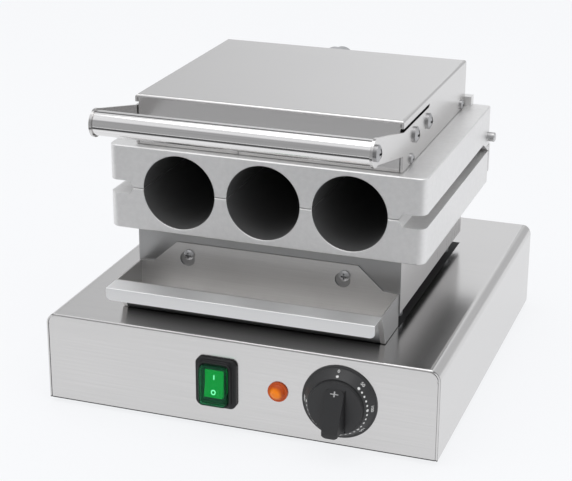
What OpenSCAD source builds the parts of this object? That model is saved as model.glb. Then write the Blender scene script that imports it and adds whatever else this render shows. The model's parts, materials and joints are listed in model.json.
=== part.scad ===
// Heated bun press: a countertop cooker with two hinged aluminium plates that close on three round cavities.
// Millimetres, +Z up, X across the front, Y towards the rear. The origin is on the table under the middle.

/* [Base casing] */
// Width of the casing
base_w = 320; // [300:1:360]
// Depth of the casing, front panel to rear panel
base_d = 330; // [328:1:380]
// Height of the casing alone
base_h = 73.5; // [68:0.5:95]
// Sheet thickness of the casing
base_wall = 1.2; // [1:0.1:1.5]
// Outside radius of the bends between top and sides
side_bend_r = 9; // [5:0.5:12]
// Outside radius of the bends between top and front or rear
fold_r = 2; // [1.6:0.1:3]
// Width of the inward flanges under the sides
flange_w = 14; // [10:1:18]
// Width of the seam between the front panel and the side skin
seam_w = 0.6; // [0.4:0.1:1]

/* [Feet] */
// Height of the feet under the casing
foot_drop = 4; // [3:0.5:10]
// Diameter of a rubber foot
foot_d = 24; // [18:1:30]
// Distance from the casing's edges to the middle of a foot
foot_inset = 32; // [26:1:44]

/* [Riser] */
// Width of the riser box under the lower plate
riser_w = 219; // [214:1:230]
// Depth of the riser box
riser_d = 196; // [180:1:200]
// Height of the riser box
riser_h = 45.5; // [42:0.5:55]
// Distance from the front panel to the riser box
riser_front = 68; // [66:0.5:72]
// Height of the gap between the casing and the riser box
riser_gap = 11; // [8:0.5:16]
// Sheet thickness of the riser box
riser_wall = 1.5; // [1.2:0.1:2]
// Sideways place of the tie bolts
bolt_x = 98; // [94:0.5:100]
// Distance from the riser's front and rear to the tie bolts
bolt_inset = 24; // [20:1:32]
// Diameter of a tie bolt
bolt_d = 6; // [5:1:7]
// Outside diameter of a spacer tube
spacer_d = 14; // [12:1:16]

/* [Plates] */
// Width of the two plates
plate_w = 259; // [250:1:266]
// Depth of the two plates
plate_d = 213.5; // [208:0.5:220]
// Thickness of one plate
plate_t = 34.2; // [33:0.1:38]
// Distance from the front panel to the plates
plate_front = 58.5; // [56:0.5:61]
// Gap at the parting line when shut
plate_gap = 0.3; // [0.2:0.05:0.5]
// Radius of the plates' upright corners
plate_r = 7; // [5:0.5:9]
// Radius of the plates' rear upright edges
rear_corner_r = 2.5; // [1.5:0.25:4]
// Chamfer on the plates' outer edges
plate_chamfer = 0.8; // [0.4:0.1:1.2]
// Diameter of a cavity for one bun
cavity_d = 60; // [54:1:62]
// Distance between two cavities
cavity_pitch = 70; // [68:0.5:72]
// Depth of a cavity
cavity_depth = 180; // [150:1:184]
// Chamfer at a cavity's mouth
mouth_chamfer = 0.6; // [0.3:0.1:1]
// Half height of the side grooves at the parting line
groove_half = 5.4; // [3:0.2:6]
// Flat land left between the outer cavity and the side groove
groove_land = 8.4; // [6:0.2:10]
// Sideways run of the side groove's sloped end
groove_slope = 3.5; // [2:0.25:5]
// Land left behind the side groove at the rear
groove_rear = 2.5; // [1.5:0.5:8]
// Length of the sloped rear end of a side groove
groove_end_l = 20; // [8:1:26]

/* [Hinge] */
// Diameter of the hinge pin
pin_d = 8; // [6:0.5:9]
// Length of pin that stands out at each side
pin_out = 6.6; // [3:0.2:10]
// Distance from the plates' rear face to the pin
hinge_set = 7; // [6:0.25:8]
// Height of the pin over the lower plate
hinge_rise = 8.8; // [8.5:0.1:9.5]
// Radial running clearance of the upper plate on the pin
pin_clear = 0.05; // [0.02:0.01:0.1]
// Thickness of the hinge rail behind the lower plate
rail_t = 4; // [3:0.25:4.5]
// Height of the lower plate's rear face left bare under the rail
rail_up = 9.5; // [6:0.5:12]
// Sideways place of the hinge lugs
lug_x = 82; // [70:1:95]
// Width of a hinge lug
lug_w = 18; // [14:1:24]
// Radius of a hinge lug about the pin
lug_r = 9.5; // [8.5:0.25:10]
// Clearance between a lug and its notch
lug_clear = 1.5; // [1:0.25:2]

/* [Lid] */
// Width of the lid cover
lid_w = 217; // [212:1:222]
// Depth of the lid cover
lid_d = 196; // [180:1:197]
// Height of the lid cover
lid_h = 40.5; // [38:0.5:50]
// Gap between the upper plate and the lid's lower edges
lid_seat = 0.5; // [0.2:0.1:0.8]
// Distance from the front panel to the lid cover
lid_front = 66.5; // [64:0.5:67]
// Sheet thickness of the lid cover
lid_wall = 2; // [1.5:0.1:2.5]
// Outside radius of the lid cover's bends
lid_bend_r = 2.6; // [2.2:0.1:4]
// Length of the slots under the lid's top edges
slot_l = 75; // [50:1:90]
// Height of the slots
slot_h = 2.6; // [1:0.1:3]
// Distance from the lid's top to the middle of the slots
slot_down = 7.4; // [6:0.2:9]
// Gap beside the lid's front flap
flap_gap = 0.6; // [0.4:0.1:1.2]
// Height of the rear bar on the upper plate
rear_bar_h = 8; // [5:0.5:10]
// Length of the rear bar
rear_bar_w = 228; // [200:1:236]

/* [Handle] */
// Distance of the handle's middle in front of the front panel
handle_out = 5; // [0:0.5:12]
// Height of the handle's middle over the upper plate
handle_up = 37.2; // [34:0.2:40]
// Diameter of the handle tube
tube_d = 19; // [16:0.5:21]
// Wall of the handle tube
tube_wall = 1.5; // [1:0.1:2]
// Radius of an arm's round end
arm_r = 10.8; // [10.6:0.1:12]
// Height of an arm where it leaves the lid
arm_h = 18.6; // [14:0.2:20]
// Length of a plug inside the tube
plug_l = 22; // [12:1:30]

/* [Crumb tray] */
// Width of the tray
tray_w = 217; // [200:1:219]
// Sheet thickness of the tray
tray_wall = 1.2; // [1:0.1:1.5]
// Depth of the tray's floor
tray_d = 35.4; // [33:0.2:38]
// Height of the tray's walls
tray_h = 26.4; // [20:0.2:28]
// Height of the tray's back plate
tray_back_h = 46; // [44:0.2:47]
// How far the front wall leans out
tray_lean = 11.4; // [8:0.1:13]
// Depth of the flat lip
lip_d = 18; // [10:0.5:20]
// Height of the skirt under the lip
skirt_h = 10; // [6:0.5:14]
// Radius of the skirt's lower corners
skirt_r = 4; // [2:0.5:5]
// Width of the back plate's straight top edge
tray_top_w = 151; // [146:1:160]
// Width of the back plate where its shoulders end
tray_shoulder_w = 192; // [186:1:196]
// Clearance of the tray over the casing
tray_clear = 0.7; // [0.5:0.1:1.2]
// Sideways place of the tray screws
tray_screw_x = 65; // [55:0.5:68]
// Height of the tray screws over the riser's underside
tray_screw_up = 26.4; // [25:0.2:27]
// Lift that frees the tray from its screws
tray_lift = 4; // [3.6:0.2:5]

/* [Controls] */
// Sideways place of the rocker switch
switch_x = -15.6; // [-30:0.2:-10]
// Width of the switch bezel
bezel_w = 33.2; // [31:0.2:36]
// Height of the switch bezel
bezel_h = 40.4; // [39:0.2:43]
// Thickness of the switch bezel
bezel_t = 3.4; // [2.5:0.1:4]
// Swing of the rocker from off to on, in degrees
rocker_swing = 14; // [8:1:14]
// Sideways place of the pilot lamp
lamp_x = 34.2; // [24:0.2:40]
// Diameter of the pilot lamp's rim
lamp_d = 16; // [12:0.5:18]
// Sideways place of the thermostat
dial_x = 83.4; // [80:0.2:100]
// Diameter of the scale cone's rim
dial_d = 59; // [54:0.5:62]
// Diameter of the scale cone's front
dial_face_d = 45; // [42:0.5:48]
// Height of the scale cone
dial_out = 9.3; // [7:0.1:12]
// Thickness of the scale cone's rim
dial_t = 1.5; // [1:0.1:2]
// Diameter of the knob's disc
knob_d = 43; // [40:0.5:50]
// Thickness of the knob's disc
knob_t = 2.9; // [2.5:0.1:5]
// Height of the knob's grip over its disc
grip_out = 12.5; // [8:0.5:16]
// Width of the knob's grip at its disc
grip_w = 15; // [12:0.5:17]
// Width of the knob's grip at its front
grip_tip_w = 12.6; // [10:0.2:16]

/* [Conduit and cord entry] */
// Diameter of the conduit that feeds the lid
hose_d = 13; // [11:0.25:13.5]
// Bend radius of the conduit
hose_bend_r = 30; // [28:0.5:30.5]
// Sideways place of the conduit
hose_x = -10; // [-20:0.5:20]
// Distance from the lid's top to the conduit
hose_down = 10.7; // [10.3:0.1:13]
// Diameter of a conduit nut
hose_nut_d = 20; // [19:0.2:20.4]
// Distance from the casing's left side to the cord entry
cord_inset = 42; // [35:1:70]
// Bore of the cord entry
cord_bore_d = 8; // [6:0.25:9]

/* [Hidden] */

$fn = 96;
// Overrun of every cut past its face
over = 1;
// Clearance between parts of one body that fit in each other
fit = 0.1;
// Radial clearance of a part that turns in another
run_fit = 0.05;
// Gap kept between parts of two bodies
free_gap = 0.3;
half = 1 / 2;
degrees_square = 90;

// Heights from the table up
top_z = foot_drop + base_h;
control_z = foot_drop + base_h * half;
riser_z = top_z + riser_gap;
plate_z = riser_z + riser_h;
part_z = plate_z + plate_t;
upper_z = part_z + plate_gap;
upper_top = upper_z + plate_t;
lid_top = upper_top + lid_h;

// Places behind the front panel
riser_rear = riser_front + riser_d;
plate_rear = plate_front + plate_d;
lid_rear = lid_front + lid_d;
hinge_y = plate_rear - hinge_set;
hinge_z = part_z + hinge_rise;
handle_y = -handle_out;
handle_z = upper_top + handle_up;
bolt_y_front = riser_front + bolt_inset;
bolt_y_rear = riser_rear - bolt_inset;
arm_side_x = lid_w * half - lid_wall;

// Control panel depths
knob_back = dial_out + free_gap;
knob_front = knob_back + knob_t;
grip_front = knob_front + grip_out;
gland_out = 21;
gland_in = 12;

// The origin lies midway between the knob's grip and the cord entry
mid_y = (base_d + gland_out - grip_front) * half;

// Pan head screws
pan_share = 0.55;
m4_d = 4;
m4_head_d = 8;
m4_head_h = 2.6;
m6_d = 6;
m6_head_d = 12.4;
m6_head_h = 3.8;
recess_w_share = 0.14;
recess_l_share = 0.56;
recess_d_share = 0.5;

// Switch
boot_w = 22.2;
boot_h = 32.4;
boot_t = 1;
boot_front = 11.2;
boot_r = 3;
boot_clear = 0.15;
rocker_w = 15;
rocker_h = 22;
rocker_mid = 6.2;
rocker_end = 7.4;
rocker_in = 7;
rocker_pivot_y = 3;
rocker_pin_d = 3;
rocker_pin_out = 1.6;
switch_body_w = 26;
switch_body_h = 36;
switch_body_d = 27;
switch_well_d = 13;
switch_well_gap = 0.6;
switch_frame_out = 3.2;
switch_frame_w = 2.2;
bezel_r = 5;
blade_w = 6.3;
blade_t = 0.8;
blade_l = 9;

// Pilot lamp
lamp_rim_t = 1.6;
lamp_dome_h = 3.6;
lamp_body_d = 11.6;
lamp_body_l = 26;
lamp_lens_share = 0.8;

// Thermostat
spindle_d = 6;
spindle_in = 12;
spindle_hole_d = 10;
thermo_w = 40;
thermo_h = 34;
thermo_d = 28;
thermo_screw_x = 14;
thermo_screw_d = 4;
thermo_head_d = 7;
thermo_head_h = 2.2;
dial_bore_share = 0.82;
knob_taper = 0.4;
hub_d = 24;
hub_gap = 3;
grip_top_share = 0.74;
grip_end_share = 0.9;
grip_high_share = 0.7;
grip_r = 5;
knob_skin = 2;
grip_top = knob_d * half * grip_top_share;
grip_low = -knob_d * half * grip_end_share;
groove_w = 1.2;
groove_d = 1;
capillary_d = 2.4;
capillary_r = 8;
bulb_d = 6;
bulb_l = 70;

// Heaters
element_d = 8;
element_pitch = 52;
element_r = 26;
element_inset = 34;
element_tail = 16;
clamp_t = 3;
clamp_side = 14.5;
clamp_w = riser_w - 2 * clamp_side;
clamp_inset = 22;
clamp_bolt_d = 5;
clamp_bolt_x = cavity_pitch * half;
clamp_bolt_deep = 12;
clamp_head_h = 3.5;
clamp_head_d = 8;
pad_t = 16;
pad_gap = 4;
pad_hole_d = 10;

// Hinge
lug_up_clear = 5.5;
relief_clear = 0.4;
relief_r = hinge_rise - relief_clear;
rail_screw_x = 40;
rail_screw_d = 5;
rail_screw_l = 14;

// Lid details
bracket_t = 3;
bracket_foot_w = 16;
bracket_front_y = 18;
bracket_front_l = 66;
bracket_front_h = 30;
bracket_rear_in = 20;
bracket_rear_l = 16;
bracket_rear_h = 12;
big_screw_y = 32.4;
big_screw_pitch = 38.5;
big_screw_up = 21.3;
small_screw_front = 23;
small_screw_rear = 13.5;
small_screw_up = 5;
side_screw_l = 10;
rear_bar_d = 8.6;
rear_bar_screw_x = 90;
front_slit_x = -22.8;
front_slit_w = 0.8;
front_slit_h = 5;
arm_root_share = 0.3;

// Keyholes of the tray
tray_screw_d = 5;
tray_head_d = 8.6;
tray_head_h = 3;
key_slot_w = 6;
key_hole_d = 12.6;
key_hole_side = 1.8;
tray_seat = 0.3;

// Conduit glands
hose_nut_h = 8;
hose_dome_h = 6;
hose_dome_d = 17;
hose_wall = 1.5;
hose_straight = 6;
hose_gland_y = lid_rear + hose_nut_h + hose_dome_h + hose_straight + hose_bend_r;
hose_z = lid_top - hose_down;
gland_thread_d = 16.4;
gland_lock_h = 4;

// Cord entry
cord_x = cord_inset - base_w * half;
cord_z = foot_drop + base_h * half;
cord_hex_d = 24;
cord_hex_h = 9;
cord_dome_d = 20;
cord_dome_tip_d = 14;
cord_thread_d = 16;
cord_nut_h = 5;

// Every part is drawn from the front panel's outer face and moved so that the origin is under the middle
module placed() translate([0, -mid_y, 0]) children();

// Draws its children and their mirror image across the middle
module both_sides() {
    children();
    mirror([1, 0, 0]) children();
}

// Extrudes a Y-Z outline along X, centred
module along_x(len) rotate([degrees_square, 0, degrees_square]) linear_extrude(len, center = true) children();

// Extrudes an X-Z outline towards the rear, from the front panel's face
module along_y(len) translate([0, len, 0]) rotate([degrees_square, 0, 0]) linear_extrude(len) children();

// Round bar along X, centred
module bar_x(d, len) rotate([0, degrees_square, 0]) cylinder(d = d, h = len, center = true);

// Round bar towards the rear
module bar_y(d, len) rotate([-degrees_square, 0, 0]) cylinder(d = d, h = len);

// Flat outline with two round top corners, standing on zero
module arch(w, h, r) {
    translate([-w * half, 0]) square([w, h - r]);
    translate([r - w * half, 0]) square([w - 2 * r, h]);
    for (side = [-1, 1]) translate([side * (w * half - r), h - r]) circle(r);
}

// Flat rectangle with four round corners, centred
module round_rect(w, h, r) {
    square([w, h - 2 * r], center = true);
    square([w - 2 * r, h], center = true);
    for (sx = [-1, 1], sy = [-1, 1]) translate([sx * (w * half - r), sy * (h * half - r)]) circle(r);
}

// Bent sheet cover without its inside: rounded along both directions at the top
module cover_block(w, d, h, r_side, r_end) intersection() {
    along_y(d) arch(w, h, r_side);
    translate([0, d * half, 0]) along_x(w) arch(d, h, r_end);
}

// Pan head screw with a cross recess, head outwards along +Z, shank down from zero
module pan_screw(d, len, head_d, head_h) {
    difference() {
        intersection() {
            cylinder(d = head_d, h = head_h);
            translate([0, 0, head_h - pan_radius(head_d, head_h)]) sphere(pan_radius(head_d, head_h));
        }
        for (turn = [0, degrees_square]) rotate([0, 0, turn])
            translate([0, 0, head_h * (1 - recess_d_share) + over * half])
                cube([head_d * recess_l_share, head_d * recess_w_share, head_h * recess_d_share + over],
                     center = true);
    }
    translate([0, 0, -len]) cylinder(d = d, h = len);
}

// Radius of the ball that rounds a pan head
function pan_radius(d, h) = (d * d / 4 + h * h * pan_share * pan_share) / (2 * h * pan_share);

// Points a screw out of the right side
module facing_right() rotate([0, degrees_square, 0]) children();

// Points a screw out of the front
module facing_front() rotate([degrees_square, 0, 0]) children();

// Upright edges rounded, with chamfers around the top and the underside
module plate_block(w, d, h, r, rear_r, c) difference() {
    linear_extrude(h) union() {
        round_rect(w, d, r);
        translate([0, d * half * half]) round_rect(w, d * half, rear_r);
    }
    for (flip = [0, 1]) translate([0, 0, flip * h]) mirror([0, 0, flip]) plate_edge_cut(w, d, r, rear_r, c);
}

// Cuts the chamfer around one face of a plate
module plate_edge_cut(w, d, r, rear_r, c) for (flip = [0, 1]) mirror([flip, 0, 0]) {
    translate([w * half, (r - rear_r) * half, 0]) rotate([degrees_square, 0, 0])
        linear_extrude(d - r - rear_r, center = true) edge_triangle(c);
    mirror([0, flip, 0]) translate([0, d * half, 0]) rotate([degrees_square, 0, degrees_square])
        linear_extrude(w - 2 * (flip == 1 ? r : rear_r), center = true) edge_triangle(c);
    corner_edge_cut(w, d, r, c, -1);
    corner_edge_cut(w, d, rear_r, c, 1);
}

// Cuts the chamfer around one right corner: side is -1 at the front and 1 at the rear
module corner_edge_cut(w, d, r, c, side) translate([w * half - r, side * (d * half - r), 0])
    rotate([0, 0, (side - 1) * degrees_square * half])
        rotate_extrude(angle = degrees_square) translate([r, 0]) edge_triangle(c);

// Outline that takes a chamfer off an edge standing at zero
module edge_triangle(c) polygon([[-c, 0], [-c, -over], [over, -over], [over, c], [0, c]]);

// Casing

module base_cover() color("silver") placed() {
    difference() {
        translate([0, 0, foot_drop]) difference() {
            cover_block(base_w, base_d, base_h, side_bend_r, fold_r);
            translate([0, base_wall, -over])
                cover_block(base_w - 2 * base_wall, base_d - 2 * base_wall, base_h - base_wall + over,
                            side_bend_r - base_wall, fold_r - base_wall);
        }
        both_sides() panel_seam();
        panel_cuts();
        top_cuts();
        translate([cord_x, base_d + over, cord_z]) rotate([degrees_square, 0, 0])
            cylinder(d = cord_thread_d + fit, h = base_wall + 2 * over);
        rear_vents();
    }
    both_sides() difference() {
        translate([base_w * half - base_wall - flange_w, base_wall, foot_drop + base_wall])
            cube([flange_w, base_d - 2 * base_wall, base_wall]);
        bottom_screw_places() cylinder(d = m4_d + fit, h = foot_drop + base_h);
    }
}

// Seam between the front panel and the side skin, with its relief notches
module panel_seam() translate([0, -over, foot_drop]) {
    along_y(over + base_wall * half) difference() {
        translate([base_w * half - side_bend_r, -over]) square([side_bend_r, base_h + over]);
        translate([0, -over]) arch(base_w - 2 * (base_wall + seam_w), base_h - base_wall - seam_w + over,
                                   side_bend_r - base_wall - seam_w);
        difference() {
            translate([base_w * half - side_bend_r - over, -2 * over])
                square([side_bend_r + 2 * over, base_h + 4 * over]);
            translate([0, -over]) arch(base_w - 2 * base_wall, base_h - base_wall + over,
                                       side_bend_r - base_wall);
        }
    }
    for (place = [[base_w * half - side_bend_r, base_h - base_wall - seam_w * half],
                  [base_w * half - base_wall - seam_w, base_h - side_bend_r]])
        translate([place[0], 0, place[1]]) bar_y(2 * seam_w, over + base_wall * half);
}

// Openings of the front panel
module panel_cuts() {
    translate([switch_x, -over, control_z]) along_y(base_wall + 2 * over)
        square([switch_body_w + fit, switch_body_h + fit], center = true);
    translate([lamp_x, -over, control_z]) bar_y(lamp_body_d + fit, base_wall + 2 * over);
    translate([dial_x, -over, control_z]) bar_y(spindle_hole_d, base_wall + 2 * over);
    for (side = [-1, 1]) translate([dial_x + side * thermo_screw_x, -over, control_z])
        bar_y(thermo_screw_d + fit, base_wall + 2 * over);
}

// Openings of the casing's top
module top_cuts() {
    tie_places() translate([0, 0, top_z - base_wall - over])
        cylinder(d = bolt_d + fit, h = base_wall + 2 * over);
    translate([0, riser_front + riser_d * half, top_z - base_wall - over])
        cylinder(d = bush_d + fit, h = base_wall + 2 * over);
    translate([hose_x, hose_gland_y, top_z - base_wall - over])
        cylinder(d = gland_thread_d + fit, h = base_wall + 2 * over);
}

// Row of vent slots in the rear panel
vent_n = 9;
vent_w = 3;
vent_h = 26;
vent_pitch = 9;
module rear_vents() for (i = [0 : vent_n - 1])
    translate([(i - (vent_n - 1) * half) * vent_pitch, base_d - base_wall - over, foot_drop + base_h * half])
        along_y(base_wall + 2 * over) round_rect(vent_w, vent_h, vent_w * half - vent_w / 100);

// Places of the four tie bolts
module tie_places() for (side = [-1, 1], y = [bolt_y_front, bolt_y_rear])
    translate([side * bolt_x, y, 0]) children();

// Places of the screws that hold the bottom plate, right side
module bottom_screw_places() for (y_share = [0.27, 0.73])
    translate([base_w * half - base_wall - flange_w * half, base_d * y_share, 0]) children();

// Places of the four feet
module foot_places() for (side = [-1, 1], y = [foot_inset, base_d - foot_inset])
    translate([side * (base_w * half - foot_inset), y, 0]) children();

module base_bottom_plate() color("gainsboro") placed() difference() {
    translate([fit + base_wall - base_w * half, fit + base_wall, foot_drop])
        cube([base_w - 2 * (base_wall + fit), base_d - 2 * (base_wall + fit), base_wall]);
    foot_places() cylinder(d = m4_d + fit, h = foot_drop + base_h);
    both_sides() bottom_screw_places() cylinder(d = m4_d + fit, h = foot_drop + base_h);
    for (i = [0 : vent_n - 1], row = [-1, 1])
        translate([(i - (vent_n - 1) * half) * vent_pitch, base_d * half + row * vent_h, foot_drop - over])
            linear_extrude(base_wall + 2 * over) round_rect(vent_w, vent_h, vent_w * half - vent_w / 100);
}

module bottom_screws() color("silver") placed() both_sides() bottom_screw_places()
    translate([0, 0, foot_drop]) mirror([0, 0, 1]) pan_screw(m4_d, base_wall * 5, m4_head_d, foot_drop * half);

foot_taper = 3;
foot_recess_d = 10;
foot_seat = 1.2;
module rubber_feet() color("dimgray") placed() foot_places() difference() {
    cylinder(d1 = foot_d - foot_taper, d2 = foot_d, h = foot_drop);
    translate([0, 0, -over]) cylinder(d = foot_recess_d, h = foot_drop - foot_seat + over);
    cylinder(d = m4_d + fit, h = foot_drop + over);
}

module foot_screws() color("silver") placed() foot_places() translate([0, 0, foot_drop - foot_seat])
    mirror([0, 0, 1]) pan_screw(m4_d, base_wall * 6, m4_head_d, (foot_drop - foot_seat) * pan_share);

// Electric parts in the casing
terminal_w = 60;
terminal_d = 22;
terminal_h = 18;
terminal_hole_d = 4;
terminal_n = 5;
module terminal_block() color("ivory") placed() translate([cord_x + terminal_w * half, base_d * 0.8, 0])
    difference() {
        translate([0, 0, foot_drop + base_wall + terminal_h * half])
            cube([terminal_w, terminal_d, terminal_h], center = true);
        for (i = [0 : terminal_n - 1])
            translate([(i - (terminal_n - 1) * half) * terminal_w / terminal_n, 0,
                       foot_drop + base_wall + terminal_h * half])
                cylinder(d = terminal_hole_d, h = terminal_h);
    }

module cord_gland() color("dimgray") placed() translate([cord_x, 0, cord_z]) difference() {
    union() {
        translate([0, base_d, 0]) rotate([-degrees_square, 0, 0]) cylinder(d = cord_hex_d, h = cord_hex_h, $fn = 6);
        translate([0, base_d + cord_hex_h, 0]) rotate([-degrees_square, 0, 0])
            cylinder(d1 = cord_dome_d, d2 = cord_dome_tip_d, h = gland_out - cord_hex_h);
        translate([0, base_d - gland_in, 0]) bar_y(cord_thread_d, gland_in);
    }
    translate([0, base_d - gland_in - over, 0]) bar_y(cord_bore_d, gland_in + gland_out + 2 * over);
}

module cord_gland_nut() color("dimgray") placed()
    translate([cord_x, base_d - base_wall - cord_nut_h, cord_z]) difference() {
        rotate([-degrees_square, 0, 0]) cylinder(d = cord_hex_d, h = cord_nut_h, $fn = 6);
        translate([0, -over, 0]) bar_y(cord_thread_d + fit, cord_nut_h + 2 * over);
    }

module thermostat_body() color("tan") placed() translate([dial_x, base_wall, control_z]) difference() {
    translate([0, thermo_d * half, 0]) cube([thermo_w, thermo_d, thermo_h], center = true);
    translate([0, -over, 0]) bar_y(spindle_d + 2 * run_fit, spindle_in + over);
    for (side = [-1, 1]) translate([side * thermo_screw_x, -over, 0]) bar_y(thermo_screw_d + fit, 2 * thermo_screw_d + over);
}

module thermostat_screws() color("silver") placed() for (side = [-1, 1])
    translate([dial_x + side * thermo_screw_x, 0, control_z]) facing_front()
        pan_screw(thermo_screw_d, base_wall + thermo_screw_d, thermo_head_d, thermo_head_h);

// Scale of the thermostat: a hollow cone on a flat rim
module scale_cone() color("black") placed() translate([dial_x, 0, control_z]) difference() {
    union() {
        translate([0, -dial_t, 0]) bar_y(dial_d, dial_t);
        translate([0, -dial_out, 0]) rotate([-degrees_square, 0, 0])
            cylinder(d1 = dial_face_d, d2 = dial_d - 2 * dial_t, h = dial_out - dial_t);
    }
    translate([0, -dial_out - over, 0]) bar_y(dial_face_d * dial_bore_share, dial_out + 2 * over);
}

// The sensing bulb lies under the lower plate, and its capillary runs back to the thermostat
bulb_z = plate_z - bulb_d * half;
bush_d = 18;
capillary_low = control_z;
capillary_y = riser_front + riser_d * half;
capillary_back = base_wall + thermo_d;
bulb_y = capillary_y - capillary_r - bulb_l;
module thermostat_bulb() color("peru") placed() translate([0, bulb_y, bulb_z]) bar_y(bulb_d, bulb_l);

// Quarter ring from -Y to +X about its own middle
module elbow(r, d) rotate_extrude(angle = degrees_square) translate([r, 0]) circle(d * half);

module thermostat_capillary() color("peru") placed() {
    translate([0, capillary_y - capillary_r, bulb_z - capillary_r])
        rotate([degrees_square, 0, degrees_square]) elbow(capillary_r, capillary_d);
    translate([0, capillary_y, capillary_low + capillary_r])
        cylinder(d = capillary_d, h = bulb_z - capillary_low - 2 * capillary_r);
    translate([capillary_r, capillary_y, capillary_low + capillary_r]) rotate([-degrees_square, 0, 0])
        rotate([0, 0, degrees_square]) elbow(capillary_r, capillary_d);
    run_x = dial_x - 2 * capillary_r;
    translate([capillary_r + run_x * half, capillary_y, capillary_low]) bar_x(capillary_d, run_x);
    translate([dial_x - capillary_r, capillary_y - capillary_r, capillary_low]) elbow(capillary_r, capillary_d);
    translate([dial_x, capillary_back, capillary_low])
        bar_y(capillary_d, capillary_y - capillary_r - capillary_back);
}

// Rocker switch

module switch_bezel() color("black") placed() translate([switch_x, 0, control_z]) difference() {
    union() {
        translate([0, -bezel_t, 0]) along_y(bezel_t) round_rect(bezel_w, bezel_h, bezel_r);
        translate([0, -bezel_t - switch_frame_out, 0]) along_y(switch_frame_out)
            round_rect(boot_w + 2 * (boot_clear + switch_frame_w), boot_h + 2 * (boot_clear + switch_frame_w),
                       boot_r + switch_frame_w);
    }
    translate([0, -bezel_t - switch_frame_out - over, 0]) along_y(bezel_t + switch_frame_out + 2 * over)
        round_rect(boot_w + 2 * boot_clear, boot_h + 2 * boot_clear, boot_r + boot_clear);
}

module switch_boot() color("seagreen") placed() translate([switch_x, 0, control_z]) difference() {
    translate([0, -boot_front, 0]) along_y(boot_front) round_rect(boot_w, boot_h, boot_r);
    translate([0, -boot_front + boot_t, 0]) along_y(boot_front)
        round_rect(boot_w - 2 * boot_t, boot_h - 2 * boot_t, boot_r - boot_t);
}

module switch_body() color("black") placed() translate([switch_x, 0, control_z]) {
    difference() {
        along_y(switch_body_d) square([switch_body_w, switch_body_h], center = true);
        translate([0, -over, 0]) along_y(switch_well_d + over)
            square([rocker_w + 2 * switch_well_gap, rocker_h + 4 * switch_well_gap], center = true);
        translate([0, rocker_pivot_y, 0])
            bar_x(rocker_pin_d + 2 * run_fit, rocker_w + 2 * rocker_pin_out + 2 * free_gap);
    }
    for (row = [-1, 1], side = [-1, 1])
        translate([side * switch_body_w / 4, switch_body_d + blade_l * half, row * switch_body_h / 4])
            cube([blade_w, blade_l, blade_t], center = true);
}

// Green rocker, drawn level and tipped to its on position
module switch_rocker() color("limegreen") placed() translate([switch_x, rocker_pivot_y, control_z])
    rotate([-rocker_swing * half, 0, 0]) {
        along_x(rocker_w) polygon([[-rocker_pivot_y - rocker_mid, 0],
                                   [-rocker_pivot_y - rocker_end, rocker_h * half],
                                   [-rocker_pivot_y, rocker_h * half],
                                   [rocker_in - rocker_pivot_y, rocker_h / 4],
                                   [rocker_in - rocker_pivot_y, -rocker_h / 4],
                                   [-rocker_pivot_y, -rocker_h * half],
                                   [-rocker_pivot_y - rocker_end, -rocker_h * half]]);
        bar_x(rocker_pin_d, rocker_w + 2 * rocker_pin_out);
    }

// Pilot lamp

module pilot_lamp_lens() color("orange") placed() translate([lamp_x, 0, control_z]) {
    lens_d = lamp_d * lamp_lens_share;
    translate([0, -lamp_rim_t, 0]) bar_y(lamp_d, lamp_rim_t);
    dome_r = (lens_d * lens_d / 4 + lamp_dome_h * lamp_dome_h) / (2 * lamp_dome_h);
    translate([0, -lamp_rim_t, 0]) rotate([degrees_square, 0, 0]) intersection() {
        cylinder(d = lens_d, h = lamp_dome_h + over);
        translate([0, 0, lamp_dome_h - dome_r]) sphere(dome_r);
    }
}

module pilot_lamp_body() color("ivory") placed() translate([lamp_x, 0, control_z]) {
    bar_y(lamp_body_d, lamp_body_l);
    for (side = [-1, 1]) translate([side * lamp_body_d / 4, lamp_body_l + blade_l * half, 0])
        cube([blade_t, blade_l, blade_w], center = true);
}

// Riser

module riser_box() color("silver") placed() difference() {
    translate([-riser_w * half, riser_front, riser_z]) cube([riser_w, riser_d, riser_h]);
    translate([riser_wall - riser_w * half, riser_front + riser_wall, riser_z + riser_wall])
        cube([riser_w - 2 * riser_wall, riser_d - 2 * riser_wall, riser_h]);
    tie_places() translate([0, 0, riser_z - over]) cylinder(d = bolt_d + fit, h = riser_wall + 2 * over);
    translate([0, capillary_y, riser_z - over]) cylinder(d = bush_d + fit, h = riser_wall + 2 * over);
    both_sides() translate([tray_screw_x, riser_front - over, riser_z + tray_screw_up])
        bar_y(tray_screw_d, riser_wall + 2 * over);
}

module riser_spacers() color("gray") placed() tie_places() translate([0, 0, top_z]) difference() {
    cylinder(d = spacer_d, h = riser_gap);
    translate([0, 0, -over]) cylinder(d = bolt_d + fit, h = riser_gap + 2 * over);
}

bolt_deep = 12;
bolt_head_h = 4;
bolt_head_share = 1.8;
module tie_bolts() color("silver") placed() tie_places() {
    translate([0, 0, top_z - base_wall - bolt_head_h])
        cylinder(d = bolt_d * bolt_head_share, h = bolt_head_h, $fn = 6);
    translate([0, 0, top_z - base_wall]) cylinder(d = bolt_d, h = plate_z + bolt_deep - top_z + base_wall);
}

bush_flange = 3;
bush_bore_share = 0.72;
module wiring_bush() color("black") placed() translate([0, capillary_y, 0]) difference() {
    union() {
        translate([0, 0, top_z - base_wall - bush_flange])
            cylinder(d = bush_d, h = riser_gap + base_wall + riser_wall + 2 * bush_flange);
        translate([0, 0, top_z]) cylinder(d = bush_d + 2 * bush_flange, h = riser_gap);
    }
    translate([0, 0, top_z - base_wall - bush_flange - over])
        cylinder(d = bush_d * bush_bore_share, h = riser_gap + riser_h);
}

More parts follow.
